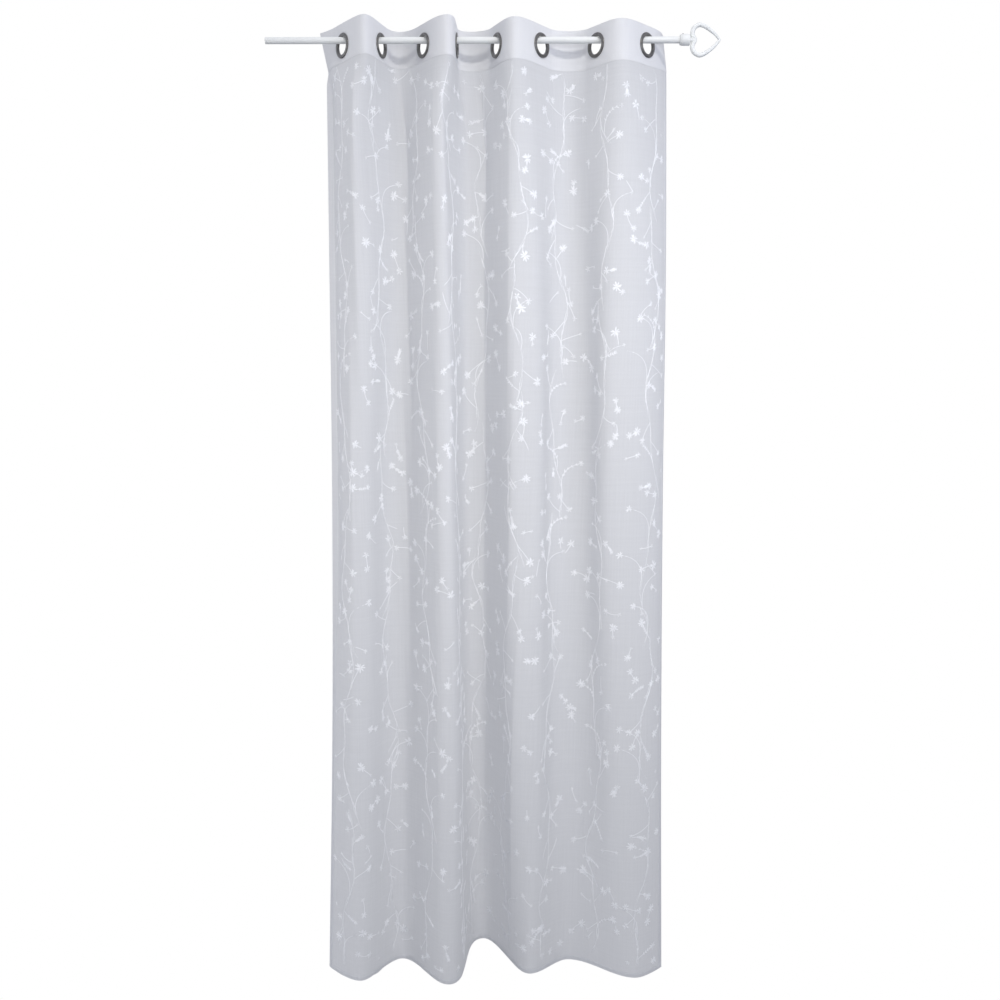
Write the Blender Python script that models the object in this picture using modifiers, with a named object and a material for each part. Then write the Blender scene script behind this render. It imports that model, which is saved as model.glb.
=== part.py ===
"""Sheer voile eyelet curtain on a thin painted rod with an open heart finial.

The cloth is one length of voile, 1.40 m wide and 2.45 m long when flat, gathered on eight eyelets.
Frame: the origin is on the rod's axis above the middle of the cloth. X runs right along the rod,
-Y is the front of the curtain and Z is up. All sizes are in metres.
"""

import math

import bmesh
import bpy
import numpy as np
from mathutils import Matrix, Vector

# Cloth
CLOTH_WIDTH = 1.400
HEM_Z = -2.410
PANEL_THICK = 0.0010
PANEL_COLUMNS = 108
SPAN_ROWS = (2, 3, 4, 4, 4)

# Heading strip
HEADING_THICK = 0.0016
SEAM_GAP = 0.0006
PIECE_GAP = 0.0005
FLAT_HALF = 0.0320
LOOP_STEPS = 10
MARGIN_STEPS = 5
EDGE_MARGIN = 0.0990

# Eyelets
EYELET_INNER = 0.0212
EYELET_OUTER = 0.0302
EYELET_NECK = 0.0238
EYELET_HOLE = 0.0245
EYELET_DROP = 0.0125
EYELET_STEPS = 32

# Rod and finial
ROD_RADIUS = 0.0081
ROD_LEFT = -0.566
ROD_RIGHT = 0.475
COLLAR_LEFT = 0.4615
COLLAR_RIGHT = 0.4864
COLLAR_RADIUS = 0.0136
COLLAR_BORE = 0.0085
SCREW_RADIUS = 0.0020
SCREW_X = 0.4692
NECK_RADIUS = 0.0062

# One row per eyelet: place along the rod, how far the cloth is turned from the rod there (degrees),
# which way the cloth runs as it goes right, and how far the heading's edges are above and below
# the rod's axis.
EYELETS = (
    # x,      turn, runs,    above, below
    (-0.3745, 53.0, "front", 0.0415, 0.0520),
    (-0.2790, 72.0, "back", 0.0400, 0.0500),
    (-0.1740, 57.0, "front", 0.0400, 0.0505),
    (-0.0925, 87.0, "back", 0.0390, 0.0560),
    (0.0075, 64.0, "front", 0.0380, 0.0610),
    (0.1185, 51.0, "back", 0.0360, 0.0610),
    (0.2545, 54.0, "front", 0.0350, 0.0645),
    (0.3805, 47.0, "back", 0.0345, 0.0610),
)

# One row per side edge: how much the cloth turns past the last eyelet along the heading's upper
# and lower edge (degrees, plus is flatter to the rod on the left and steeper on the right), and
# how far the heading's edges are above and below the rod's axis.
EDGES = {
    "left": {"upper": 16.0, "lower": -20.0, "above": 0.0400, "below": 0.0520},
    "right": {"upper": 32.0, "lower": 15.0, "above": 0.0345, "below": 0.0555},
}

# One row per fold line of the cloth, from the left edge to the right edge. Each pair is the line's
# place along the rod and its depth (front is minus) at one of the heights in FOLD_HEIGHTS.
FOLD_HEIGHTS = (-0.18, -0.50, -1.15, -1.80, -2.41)
FOLDS = {
    "left edge": ((-0.424, 0.066), (-0.424, 0.055), (-0.423, 0.030), (-0.431, 0.010), (-0.447, 0.000)),
    "front one": ((-0.343, -0.066), (-0.343, -0.061), (-0.360, -0.054), (-0.363, -0.058), (-0.356, -0.067)),
    "back one": ((-0.228, 0.062), (-0.229, 0.057), (-0.232, 0.058), (-0.244, 0.052), (-0.254, 0.047)),
    "front two": ((-0.128, -0.069), (-0.125, -0.069), (-0.122, -0.073), (-0.122, -0.080), (-0.123, -0.087)),
    "back two": ((-0.068, 0.058), (-0.064, 0.066), (-0.056, 0.090), (-0.047, 0.122), (-0.037, 0.152)),
    "front three": ((0.053, -0.057), (0.058, -0.052), (0.065, -0.045), (0.076, -0.039), (0.090, -0.033)),
    "back three": ((0.187, 0.046), (0.196, 0.048), (0.197, 0.046), (0.196, 0.044), (0.198, 0.042)),
    "front four": ((0.319, -0.052), (0.317, -0.052), (0.323, -0.051), (0.350, -0.051), (0.370, -0.053)),
    "right edge": ((0.442, 0.076), (0.443, 0.060), (0.439, 0.035), (0.440, 0.015), (0.446, 0.002)),
}

# How square each swing of the cloth is at the same heights, for those that are squarer than the rest.
SQUARE = {
    "front two": (1.0, 1.0, 1.2, 1.6, 2.2),
}

# Half of the heart's centre line, from the cleft round a lobe to the tip.
HEART = (
    # x,      height, wire radius
    (0.4988, 0.0000, 0.0054),
    (0.4938, 0.0096, 0.0056),
    (0.4929, 0.0192, 0.0057),
    (0.4976, 0.0298, 0.0057),
    (0.5096, 0.0363, 0.0056),
    (0.5220, 0.0331, 0.0052),
    (0.5364, 0.0240, 0.0046),
    (0.5498, 0.0127, 0.0038),
    (0.5603, 0.0000, 0.0031),
)

MATERIALS = {
    # name:        (base colour,           metallic, roughness)
    "white_voile": ((0.86, 0.87, 0.90, 1.0), 0.0, 0.85),
    "white_heading": ((0.88, 0.89, 0.92, 1.0), 0.0, 0.80),
    "pewter_metal": ((0.20, 0.19, 0.18, 1.0), 1.0, 0.35),
    "white_paint": ((0.80, 0.80, 0.78, 1.0), 0.0, 0.35),
    "screw_steel": ((0.35, 0.35, 0.34, 1.0), 1.0, 0.35),
}


# ---------------------------------------------------------------- plan curves
def bezier(start, start_handle, end_handle, end, steps):
    """Points of a cubic curve, both ends included."""
    t = np.linspace(0.0, 1.0, steps + 1)[:, None]
    s = 1.0 - t
    return (
        s**3 * np.asarray(start)
        + 3.0 * s**2 * t * np.asarray(start_handle)
        + 3.0 * s * t**2 * np.asarray(end_handle)
        + t**3 * np.asarray(end)
    )


def length_of(line):
    """Length of a line of points."""
    return float(np.linalg.norm(np.diff(line, axis=0), axis=1).sum())


def solve(low, high, wanted, measure):
    """The value between low and high where a rising measure reaches the wanted size."""
    for _ in range(48):
        middle = 0.5 * (low + high)
        if measure(middle) < wanted:
            low = middle
        else:
            high = middle
    return 0.5 * (low + high)


def run_direction(turn, runs):
    """Unit direction of the cloth in plan, going right."""
    angle = math.radians(turn)
    side = -1.0 if runs == "front" else 1.0
    return np.array([math.cos(angle), side * math.sin(angle)])


def bent_run(start, direction, turn, length, steps):
    """A run of cloth that starts along a direction and turns evenly. The start is left out."""
    points = []
    here = np.array(start, dtype=float)
    angle = math.atan2(direction[1], direction[0])
    for _ in range(steps):
        angle += math.radians(turn) / steps
        here = here + length / steps * np.array([math.cos(angle), math.sin(angle)])
        points.append(here)
    return np.array(points)


def loop_between(start, start_way, end, end_way, length):
    """The rounded fold between two flat runs, with the handles that give it its length."""
    def line(handle, steps):
        return bezier(start, start + handle * start_way, end - handle * end_way, end, steps)

    handle = solve(0.0, 0.20, length, lambda h: length_of(line(h, 60)))
    return line(handle, LOOP_STEPS)


def eyelet_pitch():
    """Cloth between two eyelets."""
    return (CLOTH_WIDTH - 2.0 * EDGE_MARGIN) / (len(EYELETS) - 1)


def heading_line(edge):
    """Plan of the heading's upper or lower edge: a flat run at each eyelet, a fold between each two."""
    pitch = eyelet_pitch()
    places = [np.array([row[0], 0.0]) for row in EYELETS]
    ways = [run_direction(row[1], row[2]) for row in EYELETS]
    free = EDGE_MARGIN - FLAT_HALF
    first = places[0] - FLAT_HALF * ways[0]
    left = bent_run(first, -ways[0], EDGES["left"][edge], free, MARGIN_STEPS)
    parts = [left[::-1]]
    for index, (place, way) in enumerate(zip(places, ways)):
        parts.append(np.array([place - FLAT_HALF * way, place + FLAT_HALF * way]))
        if index + 1 < len(places):
            start = place + FLAT_HALF * way
            end = places[index + 1] - FLAT_HALF * ways[index + 1]
            loop = loop_between(start, way, end, ways[index + 1], pitch - 2.0 * FLAT_HALF)
            parts.append(loop[1:-1])
    last = places[-1] + FLAT_HALF * ways[-1]
    parts.append(bent_run(last, ways[-1], EDGES["right"][edge], free, MARGIN_STEPS))
    return np.vstack(parts)


def along(line):
    """Distance along a line at each of its points, as shares of its whole length."""
    steps = np.linalg.norm(np.diff(line, axis=0), axis=1)
    total = np.concatenate([[0.0], np.cumsum(steps)])
    return total / total[-1]


def resample(line, shares):
    """Points of a line at the given shares of its length."""
    at = along(line)
    return np.stack([np.interp(shares, at, line[:, 0]), np.interp(shares, at, line[:, 1])], axis=1)


def fold_line(level):
    """Plan of the cloth at one height: soft swings from each fold line to the next.

    The swings' handles are as long as it takes to use up the cloth's whole width. The two side
    edges hang free, so they have no handle.
    """
    names = list(FOLDS)
    marks = [np.array(FOLDS[name][level]) for name in names]
    last = len(marks) - 2

    def line(handle):
        parts = [marks[0][None, :]]
        for index, (start, end) in enumerate(zip(marks[:-1], marks[1:])):
            square = SQUARE[names[index]][level] if names[index] in SQUARE else 1.0
            reach = np.array([min(1.0, handle * square) * (end[0] - start[0]), 0.0])
            leave = reach if index > 0 else 0.0 * reach
            arrive = reach if index < last else 0.0 * reach
            parts.append(bezier(start, start + leave, end - arrive, end, 40)[1:])
        return np.vstack(parts)

    return line(solve(0.0, 1.0, CLOTH_WIDTH, lambda h: length_of(line(h))))


def heading_edge(shares, side):
    """Height of the heading's edge above or below the rod, at shares of the cloth's width."""
    pitch = eyelet_pitch()
    places = [(EDGE_MARGIN + pitch * i) / CLOTH_WIDTH for i in range(len(EYELETS))]
    column = 3 if side == "above" else 4
    sizes = [EDGES["left"][side]] + [row[column] for row in EYELETS] + [EDGES["right"][side]]
    sign = 1.0 if side == "above" else -1.0
    return sign * np.interp(shares, [0.0] + places + [1.0], sizes)


def eased(values, heights, level):
    """Values at a level, on a smooth curve through the values at a few heights."""
    slopes = np.gradient(values, heights, axis=0)
    span = int(np.clip(np.searchsorted(-heights, -level, side="right") - 1, 0, len(heights) - 2))
    step = heights[span + 1] - heights[span]
    t = (level - heights[span]) / step
    return (
        (2.0 * t**3 - 3.0 * t**2 + 1.0) * values[span]
        + (t**3 - 2.0 * t**2 + t) * step * slopes[span]
        + (3.0 * t**2 - 2.0 * t**3) * values[span + 1]
        + (t**3 - t**2) * step * slopes[span + 1]
    )


def panel_points():
    """Rows of points from the heading's lower edge to the hem, eased from plan to plan.

    Each upright thread keeps its length, so the hem rises a little where the cloth hangs aslant.
    """
    shares = np.linspace(0.0, 1.0, PANEL_COLUMNS + 1)
    plans = [resample(heading_line("lower"), shares)]
    plans += [resample(fold_line(level), shares) for level in range(len(FOLD_HEIGHTS))]
    plans = np.array(plans)
    top = heading_edge(shares, "below") - SEAM_GAP
    heights = np.array([float(top.mean())] + list(FOLD_HEIGHTS))
    levels = [heights[0]]
    for span, count in enumerate(SPAN_ROWS):
        levels += list(np.linspace(heights[span], heights[span + 1], count + 1)[1:])
    rows = [np.column_stack([plans[0], top])]
    thread = (top - HEM_Z) / (heights[0] - HEM_Z)
    for before, level in zip(levels[:-1], levels[1:]):
        plan = eased(plans, heights, level)
        aside = np.linalg.norm(plan - rows[-1][:, :2], axis=1)
        fall = np.sqrt((thread * (before - level)) ** 2 - aside**2)
        rows.append(np.column_stack([plan, rows[-1][:, 2] - fall]))
    return np.array(rows)


# ---------------------------------------------------------------- helpers
def clear_scene():
    """Removes the objects a new scene starts with."""
    for item in list(bpy.data.objects):
        bpy.data.objects.remove(item, do_unlink=True)


def make_collection(name):
    """A collection under the scene."""
    found = bpy.data.collections.new(name)
    bpy.context.scene.collection.children.link(found)
    return found


def make_material(name):
    """A plain Principled material from the table."""
    colour, metallic, roughness = MATERIALS[name]
    material = bpy.data.materials.new(name)
    material.use_nodes = True
    shader = material.node_tree.nodes["Principled BSDF"]
    shader.inputs["Base Color"].default_value = colour
    shader.inputs["Metallic"].default_value = metallic
    shader.inputs["Roughness"].default_value = roughness
    material.diffuse_color = colour
    return material


def add_object(name, mesh, collection, material=None):
    """An object for a mesh, in a collection."""
    item = bpy.data.objects.new(name, mesh)
    collection.objects.link(item)
    if material is not None:
        mesh.materials.clear()
        mesh.materials.append(material)
    return item


def mesh_from(name, points, faces, edges=()):
    """A mesh from points and faces."""
    mesh = bpy.data.meshes.new(name)
    mesh.from_pydata([tuple(p) for p in points], list(edges), list(faces))
    mesh.update()
    return mesh


def sheet_mesh(name, rows):
    """An open surface through rows of points."""
    count, width = rows.shape[:2]
    points = rows.reshape(-1, 3)
    faces = []
    for row in range(count - 1):
        for column in range(width - 1):
            here = row * width + column
            faces.append((here, here + width, here + width + 1, here + 1))
    return mesh_from(name, points, faces)


def smooth(mesh):
    """Smooth shading."""
    mesh.polygons.foreach_set("use_smooth", [True] * len(mesh.polygons))
    mesh.update()


def thicken(item, thickness):
    """Gives an open surface its cloth thickness, half to each side."""
    modifier = item.modifiers.new("thickness", "SOLIDIFY")
    modifier.thickness = thickness
    modifier.offset = 0.0
    modifier.use_even_offset = True
    return modifier


def cut(item, cutter):
    """Cuts a cutter out of an item."""
    modifier = item.modifiers.new("cut_" + cutter.name, "BOOLEAN")
    modifier.operation = "DIFFERENCE"
    modifier.solver = "EXACT"
    modifier.object = cutter
    return modifier


def cylinder_mesh(name, radius, length, sides):
    """A closed cylinder about Z, centred on the origin."""
    shape = bmesh.new()
    bmesh.ops.create_cone(
        shape,
        cap_ends=True,
        segments=sides,
        radius1=radius,
        radius2=radius,
        depth=length,
    )
    mesh = bpy.data.meshes.new(name)
    shape.to_mesh(mesh)
    shape.free()
    return mesh


def hide_cutter(item):
    """Cutters are drawn as wire and left out of renders."""
    item.hide_render = True
    item.display_type = "WIRE"


def lathe(item, steps):
    """Turns an item's profile about its Z axis."""
    modifier = item.modifiers.new("turned", "SCREW")
    modifier.axis = "Z"
    modifier.angle = 2.0 * math.pi
    modifier.steps = steps
    modifier.render_steps = steps
    modifier.use_merge_vertices = True
    modifier.merge_threshold = 0.00001
    modifier.use_smooth_shade = True
    return modifier


def profile_mesh(name, profile, closed):
    """A profile of (radius, height) pairs, drawn at +X."""
    points = [(radius, 0.0, height) for radius, height in profile]
    edges = [(i, i + 1) for i in range(len(points) - 1)]
    if closed:
        edges.append((len(points) - 1, 0))
    return mesh_from(name, points, [], edges)


def eyelet_frame(row):
    """Where an eyelet sits: its local X lies along the cloth and its local Z through it."""
    place_x, turn, runs = row[:3]
    way = run_direction(turn, runs)
    across = Vector((way[0], way[1], 0.0))
    through = Vector((-way[1], way[0], 0.0))
    upright = through.cross(across)
    frame = Matrix((across, upright, through)).transposed().to_4x4()
    frame.translation = Vector((place_x, 0.0, -EYELET_DROP))
    return frame


# ---------------------------------------------------------------- pieces
def build_panel(collection, material):
    """The voile panel, in its hanging folds."""
    mesh = sheet_mesh("curtain_panel", panel_points())
    smooth(mesh)
    panel = add_object("curtain_panel", mesh, collection, material)
    thicken(panel, PANEL_THICK)
    return panel


def heading_pieces(line):
    """A heading line cut in the middle of each fold, with a narrow gap at each cut."""
    middle = LOOP_STEPS // 2
    cuts = [MARGIN_STEPS + 1 + middle + (LOOP_STEPS + 1) * i for i in range(len(EYELETS) - 1)]
    pieces = []
    for start, end in zip([0] + cuts, cuts + [len(line) - 1]):
        piece = line[start : end + 1].copy()
        if start > 0:
            way = piece[1] - piece[0]
            piece[0] += 0.5 * PIECE_GAP * way / np.linalg.norm(way)
        if end < len(line) - 1:
            way = piece[-1] - piece[-2]
            piece[-1] -= 0.5 * PIECE_GAP * way / np.linalg.norm(way)
        pieces.append(piece)
    return pieces


def build_heading(collection, cutters, material):
    """The stiffened strip along the top, one length from fold to fold for each eyelet."""
    upper = heading_line("upper")
    lower = heading_line("lower")
    upper_row = np.column_stack([upper, heading_edge(along(upper), "above")])
    lower_row = np.column_stack([lower, heading_edge(along(lower), "below")])
    hole = cylinder_mesh("eyelet_hole", EYELET_HOLE, 0.014, EYELET_STEPS)
    lengths = zip(heading_pieces(upper_row), heading_pieces(lower_row))
    for index, (above, below) in enumerate(lengths):
        mesh = sheet_mesh(f"heading_{index + 1}", np.array([above, below]))
        heading = add_object(f"heading_{index + 1}", mesh, collection, material)
        thicken(heading, HEADING_THICK)
        cutter = add_object(f"cutter_eyelet_{index + 1}", hole, cutters)
        cutter.matrix_world = eyelet_frame(EYELETS[index])
        hide_cutter(cutter)
        cut(heading, cutter)


def eyelet_profile():
    """Half-round ring on both faces of the cloth, joined by a neck through the hole."""
    outer, inner, neck = EYELET_OUTER, EYELET_INNER, EYELET_NECK
    seat = 0.5 * HEADING_THICK + 0.0004
    front = [
        (outer - 0.0003, seat),
        (outer, seat + 0.0005),
        (outer - 0.0010, seat + 0.0017),
        (outer - 0.0034, seat + 0.0026),
        (inner + 0.0028, seat + 0.0026),
        (inner + 0.0009, seat + 0.0014),
        (inner, seat - 0.0004),
    ]
    back = [(radius, -height) for radius, height in reversed(front)]
    return front + back + [(neck, -seat), (neck, seat)]


def build_eyelets(collection, material):
    """Eight like eyelets, each turned with its part of the cloth."""
    mesh = profile_mesh("eyelet", list(reversed(eyelet_profile())), closed=True)
    for index, row in enumerate(EYELETS):
        eyelet = add_object(f"eyelet_{index + 1}", mesh, collection, material)
        eyelet.matrix_world = eyelet_frame(row)
        lathe(eyelet, EYELET_STEPS)


def along_rod(start):
    """A frame whose Z runs right along the rod from a start."""
    frame = Matrix.Rotation(math.radians(90.0), 4, "Y")
    frame.translation = Vector((start, 0.0, 0.0))
    return frame


def build_rod(collection, material):
    """The thin round rod, cut off plain at its left end."""
    length = ROD_RIGHT - ROD_LEFT
    mesh = cylinder_mesh("rod", ROD_RADIUS, length, 40)
    rod = add_object("rod", mesh, collection, material)
    rod.matrix_world = along_rod(0.5 * (ROD_LEFT + ROD_RIGHT))
    return rod


def build_collar(collection, cutters, material):
    """The finial's socket: a sleeve over the rod's end, closed on its far side."""
    length = COLLAR_RIGHT - COLLAR_LEFT
    bore_end = ROD_RIGHT - COLLAR_LEFT + 0.0005
    profile = [
        (0.0, length),
        (COLLAR_RADIUS - 0.0016, length),
        (COLLAR_RADIUS - 0.0005, length - 0.0005),
        (COLLAR_RADIUS, length - 0.0016),
        (COLLAR_RADIUS, 0.0042),
        (COLLAR_RADIUS - 0.0012, 0.0034),
        (COLLAR_RADIUS - 0.0012, 0.0008),
        (COLLAR_RADIUS - 0.0020, 0.0),
        (COLLAR_BORE, 0.0),
        (COLLAR_BORE, bore_end),
        (0.0, bore_end),
    ]
    mesh = profile_mesh("finial_collar", profile, closed=False)
    collar = add_object("finial_collar", mesh, collection, material)
    collar.matrix_world = along_rod(COLLAR_LEFT)
    lathe(collar, 40)
    hole = cylinder_mesh("screw_hole", SCREW_RADIUS + 0.0004, 0.012, 20)
    cutter = add_object("cutter_set_screw", hole, cutters)
    cutter.location = (SCREW_X, 0.0, COLLAR_BORE + 0.0040)
    hide_cutter(cutter)
    cut(collar, cutter)
    return collar


def build_set_screw(collection, material):
    """The small screw that holds the collar on the rod."""
    low = ROD_RADIUS + 0.0004
    high = COLLAR_RADIUS + 0.0016
    mesh = cylinder_mesh("finial_set_screw", SCREW_RADIUS, high - low, 20)
    screw = add_object("finial_set_screw", mesh, collection, material)
    screw.location = (SCREW_X, 0.0, 0.5 * (low + high))
    return screw


def heart_line():
    """Whole centre line of the heart with its wire radii, one closed run of points."""
    half = np.array(HEART)
    marks = np.vstack([half, (half[1:-1] * np.array([1.0, -1.0, 1.0]))[::-1]])
    tip = len(half) - 1
    count = len(marks)
    points = []
    for index in range(count):
        before, here, after, beyond = (marks[(index + k) % count] for k in (-1, 0, 1, 2))
        start_way = 0.5 * (after - before)
        end_way = 0.5 * (beyond - here)
        if index == tip:
            start_way = after - here
        if index + 1 == tip:
            end_way = after - here
        for t in (0.0, 1.0 / 3.0, 2.0 / 3.0):
            a = 2.0 * t**3 - 3.0 * t**2 + 1.0
            b = t**3 - 2.0 * t**2 + t
            c = -2.0 * t**3 + 3.0 * t**2
            d = t**3 - t**2
            points.append(a * here + b * start_way + c * after + d * end_way)
    return np.array(points)


def build_heart(collection, material):
    """The open heart, a closed loop of cast wire that thins towards the tip, and its short neck."""
    line = heart_line()
    curve = bpy.data.curves.new("heart_wire", "CURVE")
    curve.dimensions = "3D"
    curve.bevel_depth = 1.0
    curve.bevel_resolution = 2
    curve.resolution_u = 1
    spline = curve.splines.new("POLY")
    spline.points.add(len(line) - 1)
    for point, (x, height, radius) in zip(spline.points, line):
        point.co = (x, 0.0, height, 1.0)
        point.radius = radius
    spline.use_cyclic_u = True
    source = bpy.data.objects.new("heart_wire", curve)
    collection.objects.link(source)
    mesh = bpy.data.meshes.new_from_object(source)
    bpy.data.objects.remove(source, do_unlink=True)
    bpy.data.curves.remove(curve)
    shape = bmesh.new()
    shape.from_mesh(mesh)
    bmesh.ops.remove_doubles(shape, verts=shape.verts, dist=0.00001)
    bmesh.ops.recalc_face_normals(shape, faces=shape.faces)
    shape.to_mesh(mesh)
    shape.free()
    mesh.name = "finial_heart"
    smooth(mesh)
    heart = add_object("finial_heart", mesh, collection, material)
    return heart


def build_neck(heart, cutters):
    """Joins the collar side of the heart to a short round neck."""
    start = COLLAR_RIGHT + 0.0004
    end = HEART[0][0] + 0.0005
    mesh = cylinder_mesh("heart_neck", NECK_RADIUS, end - start, 24)
    neck = add_object("heart_neck", mesh, cutters)
    neck.matrix_world = along_rod(0.5 * (start + end))
    hide_cutter(neck)
    modifier = heart.modifiers.new("neck", "BOOLEAN")
    modifier.operation = "UNION"
    modifier.solver = "EXACT"
    modifier.object = neck


def main():
    """Builds the curtain, its rod and the finial."""
    clear_scene()
    parts = make_collection("voile_curtain_on_rod")
    cutters = make_collection("cutters")
    looks = {name: make_material(name) for name in MATERIALS}
    build_panel(parts, looks["white_voile"])
    build_heading(parts, cutters, looks["white_heading"])
    build_eyelets(parts, looks["pewter_metal"])
    build_rod(parts, looks["white_paint"])
    build_collar(parts, cutters, looks["white_paint"])
    build_set_screw(parts, looks["screw_steel"])
    heart = build_heart(parts, looks["white_paint"])
    build_neck(heart, cutters)
    bpy.context.view_layer.update()


main()
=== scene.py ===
"""Looks of a sheer embroidered voile curtain on a painted rod with an open heart finial.

The cloth is one length of voile, 1.40 m wide, gathered on eight eyelets. X runs right along the rod,
-Y is the front of the curtain, Z is up and the origin is on the rod's axis. Sizes are in metres.
"""

import logging
import math
from collections.abc import Callable, Sequence
from dataclasses import dataclass, field
from enum import Enum

import bpy
import numpy as np
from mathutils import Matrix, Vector

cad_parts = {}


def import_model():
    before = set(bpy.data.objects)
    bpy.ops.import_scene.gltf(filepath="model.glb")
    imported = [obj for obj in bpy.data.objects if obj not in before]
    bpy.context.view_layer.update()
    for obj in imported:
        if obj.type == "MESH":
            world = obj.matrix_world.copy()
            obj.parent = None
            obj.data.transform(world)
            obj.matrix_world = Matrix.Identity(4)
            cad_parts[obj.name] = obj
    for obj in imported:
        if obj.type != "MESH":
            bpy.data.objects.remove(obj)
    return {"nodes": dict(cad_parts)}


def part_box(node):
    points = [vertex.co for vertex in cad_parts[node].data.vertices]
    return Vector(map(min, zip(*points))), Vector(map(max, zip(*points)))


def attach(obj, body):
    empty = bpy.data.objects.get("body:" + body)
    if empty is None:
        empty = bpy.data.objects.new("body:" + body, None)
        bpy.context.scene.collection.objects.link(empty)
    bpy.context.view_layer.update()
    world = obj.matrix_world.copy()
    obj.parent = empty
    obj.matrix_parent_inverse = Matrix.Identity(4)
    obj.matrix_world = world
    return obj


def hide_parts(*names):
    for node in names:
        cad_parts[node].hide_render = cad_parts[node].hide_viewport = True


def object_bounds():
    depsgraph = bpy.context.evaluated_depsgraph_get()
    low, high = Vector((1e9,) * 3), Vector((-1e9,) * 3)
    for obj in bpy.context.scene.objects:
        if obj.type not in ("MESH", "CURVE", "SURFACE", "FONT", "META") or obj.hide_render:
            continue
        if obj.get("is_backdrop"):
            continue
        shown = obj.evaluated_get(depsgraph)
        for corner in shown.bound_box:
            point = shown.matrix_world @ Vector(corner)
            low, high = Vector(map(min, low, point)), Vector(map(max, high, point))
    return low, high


LOG = logging.getLogger("voile_curtain")
BODY = "root"
FLAT_SCALE = 3.0  # metres of cloth to one unit of its coordinates
ALONG, BACK, UP = np.eye(3)
Colour = tuple[float, float, float]
Place = tuple[float, float, float]
WHITE = (1.0, 1.0, 1.0, 1.0)


# ---------------------------------------------------------------- the way the cloth hangs
class Edge(Enum):
    """The two long edges of the heading strip."""

    UPPER = "upper"
    LOWER = "lower"


@dataclass(frozen=True)
class EyeletPlace:
    """Where one eyelet sits on the rod and how the cloth passes it."""

    x: float
    turn: float
    runs: str
    above: float
    below: float

    def way(self) -> np.ndarray:
        """Unit direction of the cloth in plan at the eyelet, going right."""
        angle = math.radians(self.turn)
        side = -1.0 if self.runs == "front" else 1.0
        return np.array([math.cos(angle), side * math.sin(angle)])


@dataclass(frozen=True)
class SideEdge:
    """How the cloth turns past the last eyelet, and how tall the heading is at its end."""

    upper: float
    lower: float
    above: float
    below: float


EYELETS = (
    EyeletPlace(-0.3745, 53.0, "front", 0.0415, 0.0520),
    EyeletPlace(-0.2790, 72.0, "back", 0.0400, 0.0500),
    EyeletPlace(-0.1740, 57.0, "front", 0.0400, 0.0505),
    EyeletPlace(-0.0925, 87.0, "back", 0.0390, 0.0560),
    EyeletPlace(0.0075, 64.0, "front", 0.0380, 0.0610),
    EyeletPlace(0.1185, 51.0, "back", 0.0360, 0.0610),
    EyeletPlace(0.2545, 54.0, "front", 0.0350, 0.0645),
    EyeletPlace(0.3805, 47.0, "back", 0.0345, 0.0610),
)
LEFT_EDGE = SideEdge(16.0, -20.0, 0.0400, 0.0520)
RIGHT_EDGE = SideEdge(32.0, 15.0, 0.0345, 0.0555)

# One row per fold line, left to right: its (place along the rod, depth) at each of FOLD_HEIGHTS.
FOLD_HEIGHTS = (-0.18, -0.50, -1.15, -1.80, -2.41)
FOLDS = {
    "left edge": ((-0.424, 0.066), (-0.424, 0.055), (-0.423, 0.030), (-0.431, 0.010), (-0.447, 0.000)),
    "front one": ((-0.343, -0.066), (-0.343, -0.061), (-0.360, -0.054), (-0.363, -0.058), (-0.356, -0.067)),
    "back one": ((-0.228, 0.062), (-0.229, 0.057), (-0.232, 0.058), (-0.244, 0.052), (-0.254, 0.047)),
    "front two": ((-0.128, -0.069), (-0.125, -0.069), (-0.122, -0.073), (-0.122, -0.080), (-0.123, -0.087)),
    "back two": ((-0.068, 0.058), (-0.064, 0.066), (-0.056, 0.090), (-0.047, 0.122), (-0.037, 0.152)),
    "front three": ((0.053, -0.057), (0.058, -0.052), (0.065, -0.045), (0.076, -0.039), (0.090, -0.033)),
    "back three": ((0.187, 0.046), (0.196, 0.048), (0.197, 0.046), (0.196, 0.044), (0.198, 0.042)),
    "front four": ((0.319, -0.052), (0.317, -0.052), (0.323, -0.051), (0.350, -0.051), (0.370, -0.053)),
    "right edge": ((0.442, 0.076), (0.443, 0.060), (0.439, 0.035), (0.440, 0.015), (0.446, 0.002)),
}
# Longer handles after a fold's line make it squarer, at each of FOLD_HEIGHTS.
SQUARE = {"front two": (1.0, 1.0, 1.2, 1.6, 2.2)}
# Shorter handles make a fold crisper: (before, after) its line, at each of FOLD_HEIGHTS.
CRISP = {
    "front one": ((0.12, 0.80), (0.12, 0.80), (0.20, 0.80), (0.50, 0.90), (1.0, 1.0)),
    "back one": ((0.90, 0.12), (0.90, 0.12), (0.90, 0.15), (0.90, 0.40), (1.0, 1.0)),
    "front two": ((1.0, 0.75), (1.0, 0.75), (1.0, 0.80), (1.0, 0.90), (1.0, 1.0)),
}
# Corners that a creased flank passes, by the fold that it leaves, at each of FOLD_HEIGHTS.
CORNERS = {
    "back one": (((-0.150, -0.056),), ((-0.149, -0.056),), ((-0.147, -0.060),), ((-0.150, -0.064),), ()),
    "back two": (
        ((-0.026, 0.056), (0.034, -0.046)),
        ((-0.026, 0.063), (0.034, -0.042)),
        ((-0.026, 0.084), (0.037, -0.036)),
        ((-0.026, 0.110), (0.042, -0.029)),
        (),
    ),
}


def at_level(table: dict[str, tuple], name: str, level: int, plain: float | tuple) -> float | tuple:
    """A fold's value at one height, or the plain value for a fold that the table leaves out."""
    return table[name][level] if name in table else plain


def unit(vectors: np.ndarray) -> np.ndarray:
    """Directions of length 1: each vector divided by its own length."""
    return vectors / np.maximum(np.linalg.norm(vectors, axis=-1, keepdims=True), 1e-9)


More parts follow.
